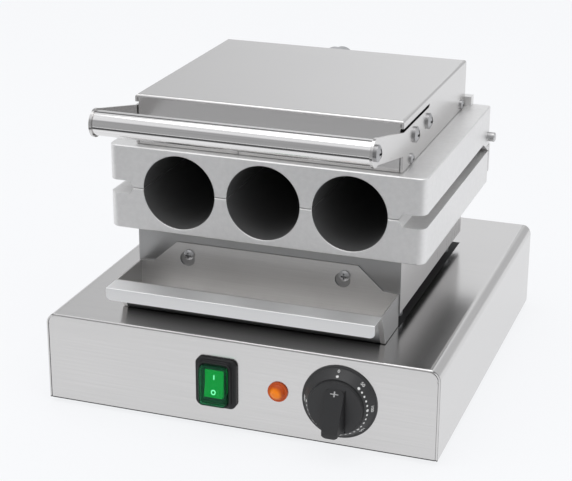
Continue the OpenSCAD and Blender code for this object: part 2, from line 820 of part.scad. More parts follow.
module tray_screws() color("silver") placed() both_sides()
    translate([tray_screw_x, riser_front - tray_wall - 2 * tray_seat, riser_z + tray_screw_up]) facing_front()
        pan_screw(tray_screw_d, tray_wall + 2 * tray_seat + riser_wall + m4_head_h, tray_head_d, tray_head_h);

// Plates

// Places of the three cavities
module cavity_places() for (i = [-1 : 1]) translate([i * cavity_pitch, plate_front, 0]) children();

// One cavity about the middle of the parting line
module cavity_cut() {
    translate([0, -over, 0]) bar_y(cavity_d, cavity_depth + over);
    translate([0, -mouth_chamfer, 0]) rotate([-degrees_square, 0, 0])
        cylinder(d1 = cavity_d + 4 * mouth_chamfer, d2 = cavity_d, h = 2 * mouth_chamfer);
}

// Side groove along the parting line, right side, with a sloped inner wall and one long slope at the rear
module side_groove() {
    land_x = cavity_pitch + cavity_d * half + groove_land;
    outer_x = plate_w * half + over;
    intersection() {
        translate([0, plate_front - over, 0]) along_y(plate_d - groove_rear + over)
            polygon([[land_x, 0], [land_x + groove_slope, groove_half], [outer_x, groove_half],
                     [outer_x, -groove_half], [land_x + groove_slope, -groove_half]]);
        translate([land_x + outer_x * half, 0, 0]) along_x(outer_x)
            polygon([[plate_front - over, groove_half], [plate_rear - groove_rear - groove_end_l, groove_half],
                     [plate_rear - groove_rear, -groove_half], [plate_front - over, -groove_half]]);
    }
}

// Both plates leave the cavities and the grooves open
module parting_cuts() {
    translate([0, 0, part_z + plate_gap * half]) {
        cavity_places() cavity_cut();
        both_sides() side_groove();
    }
}

// Blind holes for the bolts of one clamp plate
module clamp_bolt_places() for (side = [-1, 1], y = [riser_front + clamp_inset + element_inset,
                                                     riser_rear - clamp_inset - element_inset])
    translate([side * clamp_bolt_x, y, 0]) children();

module lower_plate() color("gainsboro") placed() difference() {
    translate([0, plate_front + plate_d * half, plate_z])
        plate_block(plate_w, plate_d, plate_t, plate_r, rear_corner_r, plate_chamfer);
    parting_cuts();
    tie_places() translate([0, 0, plate_z - over]) cylinder(d = bolt_d, h = bolt_deep + over);
    clamp_bolt_places() translate([0, 0, plate_z - over]) cylinder(d = clamp_bolt_d, h = clamp_bolt_deep + over);
    both_sides() translate([rail_screw_x, plate_rear - rail_screw_l + rail_t, rail_screw_z])
        bar_y(rail_screw_d, rail_screw_l);
}

module upper_plate() color("gainsboro") placed() difference() {
    translate([0, plate_front + plate_d * half, upper_z])
        plate_block(plate_w, plate_d, plate_t, plate_r, rear_corner_r, plate_chamfer);
    parting_cuts();
    translate([0, hinge_y, hinge_z]) bar_x(pin_d + 2 * pin_clear, plate_w + 2 * over);
    both_sides() translate([lug_x, 0, 0]) lug_notch();
    rear_relief();
    clamp_bolt_places() translate([0, 0, upper_top - clamp_bolt_deep]) cylinder(d = clamp_bolt_d, h = clamp_bolt_deep + over);
    both_sides() bracket_bolt_places() translate([0, 0, upper_top - clamp_bolt_deep])
        cylinder(d = m4_d, h = clamp_bolt_deep + over);
    rear_bar_screw_places() translate([0, 0, upper_top - clamp_bolt_deep])
        cylinder(d = m4_d, h = clamp_bolt_deep + over);
}

// Notch that lets a lug of the hinge rail reach the pin
module lug_notch() {
    notch_front = hinge_y - lug_r - lug_clear;
    notch_top = hinge_z + lug_r + lug_up_clear;
    translate([-lug_w * half - free_gap, notch_front, upper_z - over])
        cube([lug_w + 2 * free_gap, plate_rear + over - notch_front, notch_top - upper_z + over]);
}

// Rounds the upper plate's lower rear edge about the pin, so that it can swing over the lower plate
module rear_relief() difference() {
    translate([-plate_w * half - over, hinge_y, upper_z - over])
        cube([plate_w + 2 * over, hinge_set + over, hinge_z - upper_z + over]);
    translate([0, hinge_y, hinge_z]) bar_x(2 * relief_r, plate_w + 4 * over);
}

// Tubular heating element: four legs and three half rings, its ends towards the rear
module heater(legs_front, legs_rear) {
    for (i = [0 : 3]) translate([(i - 3 * half) * element_pitch, legs_front, 0])
        bar_y(element_d, legs_rear - legs_front + ((i == 0 || i == 3) ? element_tail : 0));
    for (i = [-1, 1]) translate([i * element_pitch, legs_front, 0]) mirror([0, 1, 0])
        rotate_extrude(angle = 2 * degrees_square) translate([element_r, 0]) circle(element_d * half);
    translate([0, legs_rear, 0])
        rotate_extrude(angle = 2 * degrees_square) translate([element_r, 0]) circle(element_d * half);
}

heater_front = riser_front + element_inset + element_r;
heater_rear = riser_rear - element_inset - element_r;

module lower_heater() color("darkslategray") placed() translate([0, 0, plate_z - element_d * half])
    heater(heater_front, heater_rear);

module upper_heater() color("darkslategray") placed() translate([0, 0, upper_top + element_d * half])
    heater(heater_front, heater_rear);

// Steel plate that holds a heating element against its plate
module clamp_plate() difference() {
    translate([-clamp_w * half, riser_front + clamp_inset, 0])
        cube([clamp_w, riser_d - 2 * clamp_inset, clamp_t]);
    clamp_bolt_places() translate([0, 0, -over]) cylinder(d = clamp_bolt_d + fit, h = clamp_t + 2 * over);
    tie_places() translate([0, 0, -over]) cylinder(d = spacer_d, h = clamp_t + 2 * over);
    translate([0, capillary_y, -over]) cylinder(d = bush_d, h = clamp_t + 2 * over);
}

// Hex head bolt of a clamp plate, head down
module clamp_bolt() {
    translate([0, 0, -clamp_head_h]) cylinder(d = clamp_head_d, h = clamp_head_h, $fn = 6);
    cylinder(d = clamp_bolt_d, h = clamp_t + element_d + clamp_bolt_deep);
}

module lower_clamp_plate() color("gray") placed() translate([0, 0, plate_z - element_d - clamp_t]) clamp_plate();

module lower_clamp_bolts() color("silver") placed() clamp_bolt_places()
    translate([0, 0, plate_z - element_d - clamp_t]) clamp_bolt();

module upper_clamp_plate() color("gray") placed() translate([0, 0, upper_top + element_d]) clamp_plate();

module upper_clamp_bolts() color("silver") placed() clamp_bolt_places()
    translate([0, 0, upper_top + element_d + clamp_t]) mirror([0, 0, 1]) clamp_bolt();

// Mineral wool pad behind a clamp plate
module wool_pad(w, d) difference() {
    translate([-w * half, riser_front + (riser_d - d) * half, 0]) cube([w, d, pad_t]);
    tie_places() translate([0, 0, -over]) cylinder(d = spacer_d, h = pad_t + 2 * over);
    clamp_bolt_places() translate([0, 0, -over]) cylinder(d = pad_hole_d, h = pad_t + 2 * over);
    translate([0, capillary_y, -over]) cylinder(d = bush_d, h = pad_t + 2 * over);
}

module lower_insulation() color("wheat") placed() translate([0, 0, plate_z - element_d - clamp_t - pad_t])
    wool_pad(clamp_w, riser_d - 2 * clamp_inset);

module lid_insulation() color("wheat") placed() translate([0, 0, upper_top + element_d + clamp_t])
    wool_pad(clamp_w - 2 * bracket_foot_w, riser_d - 2 * clamp_inset - 2 * bracket_foot_w);

// Hinge

rail_screw_z = plate_z + rail_up + (plate_t - rail_up) * half;

module hinge_rail() color("gainsboro") placed() difference() {
    union() {
        translate([-plate_w * half, plate_rear, plate_z + rail_up])
            cube([plate_w, rail_t, plate_t - rail_up]);
        both_sides() translate([lug_x, 0, 0]) {
            translate([0, hinge_y, hinge_z]) bar_x(2 * lug_r, lug_w);
            translate([-lug_w * half, hinge_y - lug_r, part_z])
                cube([lug_w, plate_rear + rail_t - hinge_y + lug_r, hinge_rise]);
        }
    }
    translate([0, hinge_y, hinge_z]) bar_x(pin_d, plate_w);
    translate([-plate_w * half, hinge_y - lug_r - over, part_z - over])
        cube([plate_w, plate_rear - hinge_y + lug_r + over, over]);
    both_sides() translate([rail_screw_x, plate_rear - over, rail_screw_z])
        bar_y(rail_screw_d + fit, rail_t + 2 * over);
}

module rail_screws() color("silver") placed() both_sides()
    translate([rail_screw_x, plate_rear + rail_t, rail_screw_z]) mirror([0, 1, 0]) facing_front()
        pan_screw(rail_screw_d, rail_screw_l, 2 * rail_screw_d, m4_head_h);

pin_end_chamfer = 0.8;
module hinge_pin() color("silver") placed() translate([0, hinge_y, hinge_z]) {
    bar_x(pin_d, plate_w + 2 * (pin_out - pin_end_chamfer));
    both_sides() translate([plate_w * half + pin_out - pin_end_chamfer, 0, 0]) rotate([0, degrees_square, 0])
        cylinder(d1 = pin_d, d2 = pin_d - 2 * pin_end_chamfer, h = pin_end_chamfer);
}

// Conduit from the casing to the lid

// Round nut, dome and thread of a conduit gland along +Z, seated on zero
module hose_gland(wall, bore) difference() {
    union() {
        cylinder(d = hose_nut_d, h = hose_nut_h);
        translate([0, 0, hose_nut_h]) cylinder(d1 = hose_dome_d, d2 = bore + wall, h = hose_dome_h);
        translate([0, 0, -wall - gland_lock_h]) cylinder(d = gland_thread_d, h = wall + gland_lock_h);
    }
    translate([0, 0, -wall - gland_lock_h - over])
        cylinder(d = bore, h = wall + gland_lock_h + hose_nut_h + hose_dome_h + 2 * over);
}

module hose_gland_base() color("gray") placed() translate([hose_x, hose_gland_y, top_z])
    hose_gland(base_wall, hose_d);

module hose_gland_lid() color("gray") placed() translate([hose_x, lid_rear, hose_z])
    rotate([-degrees_square, 0, 0]) hose_gland(lid_wall, hose_d + 2 * fit);

// Ring section of the conduit
module hose_ring() difference() {
    circle(hose_d * half);
    circle(hose_d * half - hose_wall);
}

module wiring_hose() color("lightgray") placed() translate([hose_x, 0, 0]) {
    translate([0, hose_gland_y, top_z]) linear_extrude(hose_z - hose_bend_r - top_z) hose_ring();
    translate([0, hose_gland_y - hose_bend_r, hose_z - hose_bend_r])
        rotate([degrees_square, 0, degrees_square])
            rotate_extrude(angle = degrees_square) translate([hose_bend_r, 0]) hose_ring();
    translate([0, lid_rear, hose_z]) along_y(hose_gland_y - hose_bend_r - lid_rear) hose_ring();
}

// Lid

// Side outline of one handle arm, from the lid's side to its round end
module arm_outline() {
    root_y = lid_front + lid_d * arm_root_share;
    root_top = lid_top - slot_down - slot_h * half;
    slope = (handle_z + arm_r - root_top) / (lid_front - handle_y);
    translate([handle_y, handle_z]) circle(arm_r);
    polygon([[handle_y, handle_z + arm_r], [lid_front, root_top], [root_y, root_top],
             [root_y, root_top - arm_h], [lid_front, root_top - arm_h],
             [handle_y, handle_z - arm_r + (arm_r * 2 - arm_h) * half]]);
}

module lid_cover() color("silver") placed() {
    difference() {
        translate([0, lid_front, upper_top + lid_seat]) difference() {
            cover_block(lid_w, lid_d, lid_h - lid_seat, lid_bend_r, lid_bend_r);
            translate([0, lid_wall, -over])
                cover_block(lid_w - 2 * lid_wall, lid_d - 2 * lid_wall, lid_h - lid_seat - lid_wall + over,
                            lid_bend_r - lid_wall, lid_bend_r - lid_wall);
        }
        both_sides() {
            translate([lid_w * half, lid_front, lid_top - slot_down]) side_slot();
            translate([arm_side_x - flap_gap, lid_front - over, upper_top])
                cube([flap_gap, lid_wall + over, lid_h - lid_bend_r]);
            lid_screw_places() bar_x(m6_d + fit, 4 * lid_wall);
            small_screw_places() bar_x(m4_d + fit, 4 * lid_wall);
        }
        translate([front_slit_x, lid_front, upper_top + front_slit_h * half])
            cube([front_slit_w, 4 * lid_wall, front_slit_h + over], center = true);
        translate([hose_x, lid_rear + over, hose_z]) rotate([degrees_square, 0, 0])
            cylinder(d = gland_thread_d + fit, h = lid_wall + 2 * over);
    }
    both_sides() difference() {
        translate([lid_w * half - lid_wall * half, 0, 0]) along_x(lid_wall) difference() {
            arm_outline();
            translate([lid_front + lid_wall, lid_top - slot_down - slot_h * half - lid_h])
                square([lid_d, 2 * lid_h]);
        }
        translate([0, handle_y, handle_z]) bar_x(m6_d + fit, lid_w + 2 * over);
    }
}

// Slot under the lid's top edge with a round rear end
module side_slot() {
    translate([-lid_wall - over, -over, -slot_h * half]) cube([lid_wall + 2 * over, slot_l - slot_h * half + over, slot_h]);
    translate([0, slot_l - slot_h * half, 0]) bar_x(slot_h, 2 * (lid_wall + over));
}

// Middles of the large side screws on the right side
module lid_screw_places() for (i = [0, 1])
    translate([lid_w * half, lid_front + big_screw_y + i * big_screw_pitch, upper_top + big_screw_up]) children();

// Middles of the small side screws on the right side
module small_screw_places() for (y = [lid_front + small_screw_front, lid_rear - small_screw_rear])
    translate([lid_w * half, y, upper_top + small_screw_up]) children();

// Angle brackets inside the lid, right side
module bracket(y0, len, h) {
    translate([arm_side_x - bracket_t, y0, upper_top]) cube([bracket_t, len, h]);
    translate([arm_side_x - bracket_foot_w, y0, upper_top]) cube([bracket_foot_w, len, bracket_t]);
}

module lid_brackets() color("gray") placed() both_sides() difference() {
    union() {
        bracket(lid_front + bracket_front_y, bracket_front_l, bracket_front_h);
        bracket(lid_rear - bracket_rear_in, bracket_rear_l, bracket_rear_h);
    }
    lid_screw_places() bar_x(m6_d, 4 * (lid_wall + bracket_t));
    small_screw_places() bar_x(m4_d, 4 * (lid_wall + bracket_t));
    bracket_bolt_places() translate([0, 0, upper_top - over]) cylinder(d = m4_d + fit, h = bracket_t + 2 * over);
}

// Middles of the bolts that hold the brackets to the upper plate, right side
module bracket_bolt_places() {
    x = arm_side_x - bracket_foot_w + m4_head_d * half + fit;
    for (y = [lid_front + bracket_front_y + m4_head_d, lid_front + bracket_front_y + bracket_front_l - m4_head_d,
              lid_rear - bracket_rear_in + bracket_rear_l * half]) translate([x, y, 0]) children();
}

module bracket_bolts() color("silver") placed() both_sides() bracket_bolt_places()
    translate([0, 0, upper_top + bracket_t]) pan_screw(m4_d, bracket_t + clamp_bolt_deep, m4_head_d, m4_head_h);

module lid_screws_large() color("silver") placed() both_sides() lid_screw_places() facing_right()
    pan_screw(m6_d, side_screw_l, m6_head_d, m6_head_h);

module lid_screws_small() color("silver") placed() both_sides() small_screw_places() facing_right()
    pan_screw(m4_d, side_screw_l - bracket_t, m4_head_d, m4_head_h);

// Places of the rear bar's screws
module rear_bar_screw_places() for (i = [-1 : 1])
    translate([i * rear_bar_screw_x, plate_rear - rear_bar_d * half, 0]) children();

module rear_bar() color("gainsboro") placed() difference() {
    translate([-rear_bar_w * half, plate_rear - rear_bar_d, upper_top]) cube([rear_bar_w, rear_bar_d, rear_bar_h]);
    rear_bar_screw_places() translate([0, 0, upper_top - over]) cylinder(d = m4_d + fit, h = rear_bar_h + 2 * over);
}

module rear_bar_screws() color("silver") placed() rear_bar_screw_places()
    translate([0, 0, upper_top + rear_bar_h])
        pan_screw(m4_d, rear_bar_h + clamp_bolt_deep, m4_head_d, m4_head_h);

// Handle

module handle_tube() color("silver") placed() translate([0, handle_y, handle_z]) difference() {
    bar_x(tube_d, 2 * arm_side_x);
    bar_x(tube_d - 2 * tube_wall, 2 * arm_side_x + 2 * over);
}

module handle_plugs() color("gray") placed() both_sides()
    translate([arm_side_x - plug_l * half, handle_y, handle_z]) difference() {
        bar_x(tube_d - 2 * tube_wall, plug_l);
        bar_x(m6_d, plug_l + 2 * over);
    }

module handle_screws() color("silver") placed() both_sides()
    translate([lid_w * half, handle_y, handle_z]) facing_right()
        pan_screw(m6_d, lid_wall + plug_l - over, m6_head_d, m6_head_h);

// Knob

// Disc with a wedge grip in front and a hub behind, which reaches into the scale cone
module thermostat_knob() color("black") placed() translate([dial_x, 0, control_z]) difference() {
    union() {
        translate([0, -knob_front, 0]) rotate([-degrees_square, 0, 0])
            cylinder(d1 = knob_d - 2 * knob_taper, d2 = knob_d, h = knob_t);
        translate([0, -knob_front + knob_t * half, 0]) bar_y(hub_d, knob_front - knob_t * half - hub_gap);
        grip();
    }
    translate([(grip_w + groove_w) * half, -knob_front, (grip_top + grip_low) * half])
        cube([groove_w, 2 * groove_d, grip_top - grip_low], center = true);
    translate([0, -knob_front + knob_skin, 0]) bar_y(spindle_d, knob_front);
}

// Grip of the knob: a wedge that rises from the disc's top towards its lower end, and narrows to its front
module grip() intersection() {
    translate([0, -grip_front, (grip_top + grip_low) * half]) along_y(grip_out + knob_t * half)
        round_rect(grip_w, grip_top - grip_low, grip_r);
    along_x(grip_w + over) polygon([[-knob_front, grip_top], [-grip_front, grip_low * grip_high_share],
                                    [-grip_front, grip_low], [-knob_back, grip_low], [-knob_back, grip_top]]);
    translate([0, 0, grip_low - over]) linear_extrude(grip_top - grip_low + 2 * over)
        polygon([[-grip_w * half, -knob_back], [-grip_w * half, -knob_front], [-grip_tip_w * half, -grip_front],
                 [grip_tip_w * half, -grip_front], [grip_w * half, -knob_front], [grip_w * half, -knob_back]]);
}

module thermostat_spindle() color("silver") placed()
    translate([dial_x, -knob_front + knob_skin, control_z])
        bar_y(spindle_d, knob_front - knob_skin + base_wall + spindle_in - free_gap);

// Crumb tray

module crumb_tray() color("silver") placed() {
    back_y = riser_front - tray_seat;
    low_z = top_z + tray_clear;
    wall_z = low_z + tray_h;
    front_low = back_y - tray_d;
    front_high = front_low - tray_lean;
    lip_y = front_high - lip_d;
    // Back plate with its shoulders and keyholes
    translate([0, back_y - tray_wall, 0]) along_y(tray_wall) difference() {
        polygon([[-tray_w * half, low_z], [tray_w * half, low_z], [tray_w * half, wall_z],
                 [tray_shoulder_w * half, wall_z + tray_wall], [tray_top_w * half, low_z + tray_back_h],
                 [-tray_top_w * half, low_z + tray_back_h], [-tray_shoulder_w * half, wall_z + tray_wall],
                 [-tray_w * half, wall_z]]);
        for (side = [-1, 1]) translate([side * tray_screw_x, riser_z + tray_screw_up]) keyhole();
    }
    translate([-tray_w * half, front_low, low_z]) cube([tray_w, tray_d, tray_wall]);
    along_x(tray_w) polygon([[front_low, low_z], [front_low + tray_wall, low_z + tray_wall],
                             [front_high + tray_wall, wall_z], [front_high, wall_z]]);
    translate([-tray_w * half, lip_y, wall_z - tray_wall]) cube([tray_w, lip_d + tray_wall, tray_wall]);
    translate([0, lip_y, 0]) along_y(tray_wall) skirt_outline(wall_z);
    both_sides() translate([tray_w * half - tray_wall * half, 0, 0]) along_x(tray_wall)
        polygon([[front_low, low_z], [back_y, low_z], [back_y, wall_z], [front_high, wall_z]]);
}

// Keyhole about the screw it hangs on: a narrow slot over a round hole that lies a little to the left
module keyhole() {
    circle(key_slot_w * half);
    translate([-key_slot_w * half, -tray_lift]) square([key_slot_w, tray_lift]);
    translate([-key_hole_side, -tray_lift]) circle(key_hole_d * half);
}

// Front outline of the skirt with two round lower corners
module skirt_outline(top) mirror([0, 1]) translate([0, -top]) arch(tray_w, skirt_h, skirt_r);

base_cover();
base_bottom_plate();
bottom_screws();
rubber_feet();
foot_screws();
terminal_block();
cord_gland();
cord_gland_nut();
thermostat_body();
scale_cone();
thermostat_screws();
thermostat_capillary();
thermostat_bulb();
switch_bezel();
switch_body();
switch_boot();
pilot_lamp_lens();
pilot_lamp_body();
riser_box();
riser_spacers();
tie_bolts();
wiring_bush();
tray_screws();
lower_plate();
lower_heater();
lower_clamp_plate();
lower_clamp_bolts();
lower_insulation();
hinge_rail();
rail_screws();
hinge_pin();
hose_gland_base();
wiring_hose();
upper_plate();
upper_heater();
upper_clamp_plate();
upper_clamp_bolts();
lid_insulation();
lid_cover();
lid_brackets();
bracket_bolts();
lid_screws_large();
lid_screws_small();
rear_bar();
rear_bar_screws();
handle_tube();
handle_plugs();
handle_screws();
hose_gland_lid();
thermostat_knob();
thermostat_spindle();
switch_rocker();
crumb_tray();
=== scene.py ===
import json
from math import cos, pi, radians, sin

import bpy
from mathutils import Matrix, Vector

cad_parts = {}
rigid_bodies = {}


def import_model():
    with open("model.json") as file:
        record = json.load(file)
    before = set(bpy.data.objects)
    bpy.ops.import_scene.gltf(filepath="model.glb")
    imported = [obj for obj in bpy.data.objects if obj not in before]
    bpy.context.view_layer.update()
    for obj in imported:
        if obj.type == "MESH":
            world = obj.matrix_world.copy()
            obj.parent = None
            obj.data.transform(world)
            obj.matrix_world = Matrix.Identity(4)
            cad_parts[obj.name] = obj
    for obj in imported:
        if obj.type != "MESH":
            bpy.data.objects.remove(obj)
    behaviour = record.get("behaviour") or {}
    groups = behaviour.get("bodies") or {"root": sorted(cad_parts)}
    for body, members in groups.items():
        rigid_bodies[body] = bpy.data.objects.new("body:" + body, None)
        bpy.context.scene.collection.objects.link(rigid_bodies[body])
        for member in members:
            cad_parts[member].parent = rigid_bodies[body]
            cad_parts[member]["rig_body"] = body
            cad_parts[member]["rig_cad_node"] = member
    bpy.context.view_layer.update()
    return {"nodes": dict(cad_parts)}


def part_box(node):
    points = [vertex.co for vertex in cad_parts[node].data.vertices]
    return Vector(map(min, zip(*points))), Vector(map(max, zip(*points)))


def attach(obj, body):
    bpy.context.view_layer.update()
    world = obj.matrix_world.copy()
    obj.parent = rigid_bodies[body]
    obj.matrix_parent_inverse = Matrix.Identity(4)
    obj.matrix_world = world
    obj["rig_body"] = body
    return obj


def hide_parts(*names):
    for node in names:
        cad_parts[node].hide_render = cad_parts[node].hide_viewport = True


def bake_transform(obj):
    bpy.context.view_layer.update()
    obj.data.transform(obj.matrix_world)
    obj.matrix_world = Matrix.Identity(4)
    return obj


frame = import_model()
bpy.ops.object.select_all(action="DESELECT")


# Camera: it looks at the press from the front right and a little above.
# Its place and lens come from the straight edges of the casing, plates and lid.
MM = 0.001
photo_w, photo_h = 572, 481
photo_focal, photo_cx, photo_cy = 1592.18, 294.39, 242.09
azimuth, elevation, roll = radians(19.12), radians(20.79), radians(0.38)
look_at, camera_distance = Vector((-3.79, -17.73, 105.34)) * MM, 1325.3 * MM
back = Vector((sin(azimuth) * cos(elevation), -cos(azimuth) * cos(elevation), sin(elevation)))
level_right = Vector((cos(azimuth), sin(azimuth), 0))
level_up = back.cross(level_right)
right = level_right * cos(roll) + level_up * sin(roll)
up = level_up * cos(roll) - level_right * sin(roll)
turn = Matrix((right, up, back)).transposed().to_4x4()
bpy.ops.object.camera_add()
camera = bpy.context.object
camera.name = "studio_camera"
camera.matrix_world = Matrix.Translation(look_at + back * camera_distance) @ turn
camera.data.lens = photo_focal * camera.data.sensor_width / photo_w
camera.data.shift_x = (photo_w / 2 - photo_cx) / photo_w
camera.data.shift_y = (photo_cy - photo_h / 2) / photo_w
camera.data.clip_end = 20
bpy.context.scene.camera = camera
bpy.context.scene.view_settings.view_transform = "Standard"


# Studio: a pale surround, three soft lamps and a pale floor.
# Metal mirrors a room that is bright overhead, with grey parts in front, at both rear sides and high behind,
# and a floor with pale and dark bands across it in front of the press.
def feed(tree, value, socket):
    """Gives a node's input its value, which is a number, a colour or another node's output."""
    if isinstance(value, bpy.types.NodeSocket):
        tree.links.new(value, socket)
    else:
        socket.default_value = value


def calc(tree, operation, *values):
    """One step of arithmetic in a node tree."""
    step = tree.nodes.new("ShaderNodeMath")
    step.operation = operation
    for value, socket in zip(values, step.inputs):
        feed(tree, value, socket)
    return step.outputs[0]


def ranged(tree, value, start, end, low, high, smooth=False):
    """Goes from low to high while the value goes from start to end."""
    ramp = tree.nodes.new("ShaderNodeMapRange")
    ramp.interpolation_type = "SMOOTHSTEP" if smooth else "LINEAR"
    for name, limit in (("From Min", start), ("From Max", end), ("To Min", low), ("To Max", high)):
        ramp.inputs[name].default_value = limit
    tree.links.new(value, ramp.inputs["Value"])
    return ramp.outputs[0]


def axes_of(tree, kind="Object"):
    """X, Y and Z of the place in the press, of the way that a face looks, or of a ray's direction."""
    split = tree.nodes.new("ShaderNodeSeparateXYZ")
    tree.links.new(tree.nodes.new("ShaderNodeTexCoord").outputs[kind], split.inputs[0])
    return split.outputs


pale = (0.922, 0.93, 0.947, 1)
world = bpy.data.worlds.new("studio_surround")
world.use_nodes = True
bpy.context.scene.world = world
room = world.node_tree
room.nodes.clear()
room_ray = room.nodes.new("ShaderNodeLightPath").outputs
toward = axes_of(room, "Generated")


def fade(axis, start, end, low, high):
    """A smooth change along one axis of the direction that a mirrored ray takes."""
    return ranged(room, toward[axis], start, end, low, high, smooth=True)


def darker(amount, *shares):
    """What one grey part of the room takes from the surround: its amount times each of its shares."""
    for share in shares:
        amount = calc(room, "MULTIPLY", share, amount)
    return amount


front_grey = darker(0.55, fade("Y", -0.3, 0.05, 1, 0), fade("Z", 0.5, 0.66, 1, 0))
right_grey = darker(0.3, fade("X", 0.06, 0.18, 0, 1), fade("X", 0.62, 0.76, 1, 0),
                    fade("Y", 0.2, 0.5, 0, 1), fade("Z", 0.52, 0.68, 1, 0))
left_grey = darker(0.3, fade("X", -0.5, -0.16, 1, 0), fade("Y", 0.1, 0.5, 0, 1), fade("Z", 0.5, 0.7, 1, 0))
high_grey = darker(0.8, fade("Y", 0.25, 0.5, 0, 1), fade("Z", 0.58, 0.64, 0, 1), fade("Z", 0.78, 0.82, 1, 0))
lit_strength, seen_strength, mirrored_strength = 0.75, 1, 1
for grey_part in (front_grey, right_grey, left_grey, high_grey):
    mirrored_strength = calc(room, "SUBTRACT", mirrored_strength, grey_part)


def surround(strength):
    """The pale surround at one strength, a number or a socket."""
    background = room.nodes.new("ShaderNodeBackground")
    background.inputs["Color"].default_value = pale
    feed(room, strength, background.inputs["Strength"])
    return background.outputs[0]


def shader_mix(tree, share, first, second):
    """The first shader where the share is zero, and the second where it is one."""
    mix = tree.nodes.new("ShaderNodeMixShader")
    for value, socket in zip((share, first, second), mix.inputs):
        tree.links.new(value, socket)
    return mix.outputs[0]


room_seen = calc(room, "MAXIMUM", room_ray["Is Camera Ray"], room_ray["Is Transmission Ray"])
room_light = shader_mix(room, room_seen, surround(lit_strength), surround(seen_strength))
room_light = shader_mix(room, room_ray["Is Glossy Ray"], room_light, surround(mirrored_strength))
room.links.new(room_light, room.nodes.new("ShaderNodeOutputWorld").inputs["Surface"])

lamp_aim = Vector((0, 0, 0.1))


def soft_lamp(name, place, size, power):
    """A large round lamp that is aimed at the press."""
    bpy.ops.object.light_add(type="AREA", location=place)
    lamp = bpy.context.object
    lamp.name = name
    lamp.data.shape = "DISK"
    lamp.data.size = size
    lamp.data.energy = power
    lamp.rotation_euler = (lamp_aim - Vector(place)).to_track_quat("-Z", "Y").to_euler()
    return lamp


soft_lamp("key_lamp", (-1.1, -1.2, 2.1), 2.2, 8).visible_glossy = False
soft_lamp("fill_lamp", (1.5, -0.9, 1.7), 1.8, 5).visible_glossy = False
soft_lamp("top_lamp", (0, -0.1, 2.4), 2.2, 15)

bpy.ops.mesh.primitive_plane_add(size=12, location=(0, 0, 0))
floor = bpy.context.object
floor.name = "studio_floor"
bpy.ops.object.transform_apply(location=True, rotation=True, scale=True)
floor_paint = bpy.data.materials.new("studio_floor_paint")
floor_paint.use_nodes = True
paint = floor_paint.node_tree
paint.nodes.clear()
floor_ray = paint.nodes.new("ShaderNodeLightPath").outputs
front_y, rear_y = -1, 0
far_band, pale_band, dark_band, plain_floor = 0.45, 0.9, 0.1, 1
floor_bands = paint.nodes.new("ShaderNodeValToRGB")
floor_bands.color_ramp.elements[0].color = (far_band, far_band, far_band, 1)
for place, grey in ((0.22, far_band), (0.27, pale_band), (0.35, pale_band), (0.39, dark_band),
                    (0.58, dark_band), (0.62, plain_floor)):
    stop = floor_bands.color_ramp.elements.new(place)
    stop.color = (grey, grey, grey, 1)
feed(paint, ranged(paint, axes_of(paint)["Y"], front_y, rear_y, 0, 1), floor_bands.inputs["Fac"])
floor_level = calc(paint, "MAXIMUM", floor_bands.outputs["Color"], floor_ray["Is Camera Ray"])


def mix_of(tree, share, first, second, kind="RGBA", blend="MIX"):
    """The first value where the share is zero, and the second where it is one."""
    mix = tree.nodes.new("ShaderNodeMix")
    mix.data_type = kind
    mix.blend_type = blend
    for name, value in (("Factor", share), ("A", first), ("B", second)):
        feed(tree, value, mix.inputs[name])
    return mix.outputs["Result"]


matt = paint.nodes.new("ShaderNodeBsdfDiffuse")
feed(paint, mix_of(paint, floor_level, (0, 0, 0, 1), pale), matt.inputs["Color"])
glow = paint.nodes.new("ShaderNodeEmission")
glow_white = (0.952, 0.96, 0.977, 1)
glow.inputs["Color"].default_value = glow_white
feed(paint, floor_level, glow.inputs["Strength"])
floor_seen = floor_ray["Is Camera Ray"]
for kind in ("Is Glossy Ray", "Is Transmission Ray"):
    floor_seen = calc(paint, "MAXIMUM", floor_seen, floor_ray[kind])
glow_share = 0.85
floor_glows = calc(paint, "MULTIPLY", floor_seen, glow_share)
floor_light = shader_mix(paint, floor_glows, matt.outputs[0], glow.outputs[0])
paint.links.new(floor_light, paint.nodes.new("ShaderNodeOutputMaterial").inputs["Surface"])
floor.data.materials.append(floor_paint)


# Casing: one folded stainless sheet with round side bends, and a plain plate screwed in below.
# The sheet has a fine grain across the front, and the plate is zinc plated.
# It has painted shade in the narrow gap under the riser, is darker along its lower front edge, and has dark
# lines along its side seams.
def new_material(name):
    """A material with its node tree and its shader's inputs."""
    material = bpy.data.materials.new(name)
    material.use_nodes = True
    tree = material.node_tree
    return material, tree, tree.nodes["Principled BSDF"].inputs


def noise(tree, scale, detail=2, stretch=None, kind="Object"):
    """An even noise over the piece, mostly between 0.3 and 0.7."""
    place = tree.nodes.new("ShaderNodeTexCoord").outputs[kind]
    if stretch:
        mapping = tree.nodes.new("ShaderNodeMapping")
        mapping.inputs["Scale"].default_value = stretch
        tree.links.new(place, mapping.inputs["Vector"])
        place = mapping.outputs[0]
    pattern = tree.nodes.new("ShaderNodeTexNoise")
    pattern.inputs["Scale"].default_value = scale
    pattern.inputs["Detail"].default_value = detail
    tree.links.new(place, pattern.inputs["Vector"])
    return pattern.outputs["Fac"]


def relief(tree, height, strength, depth):
    """The way that a surface faces when its grain has a real depth."""
    bump = tree.nodes.new("ShaderNodeBump")
    bump.inputs["Strength"].default_value = strength
    bump.inputs["Distance"].default_value = depth
    tree.links.new(height, bump.inputs["Height"])
    return bump.outputs[0]


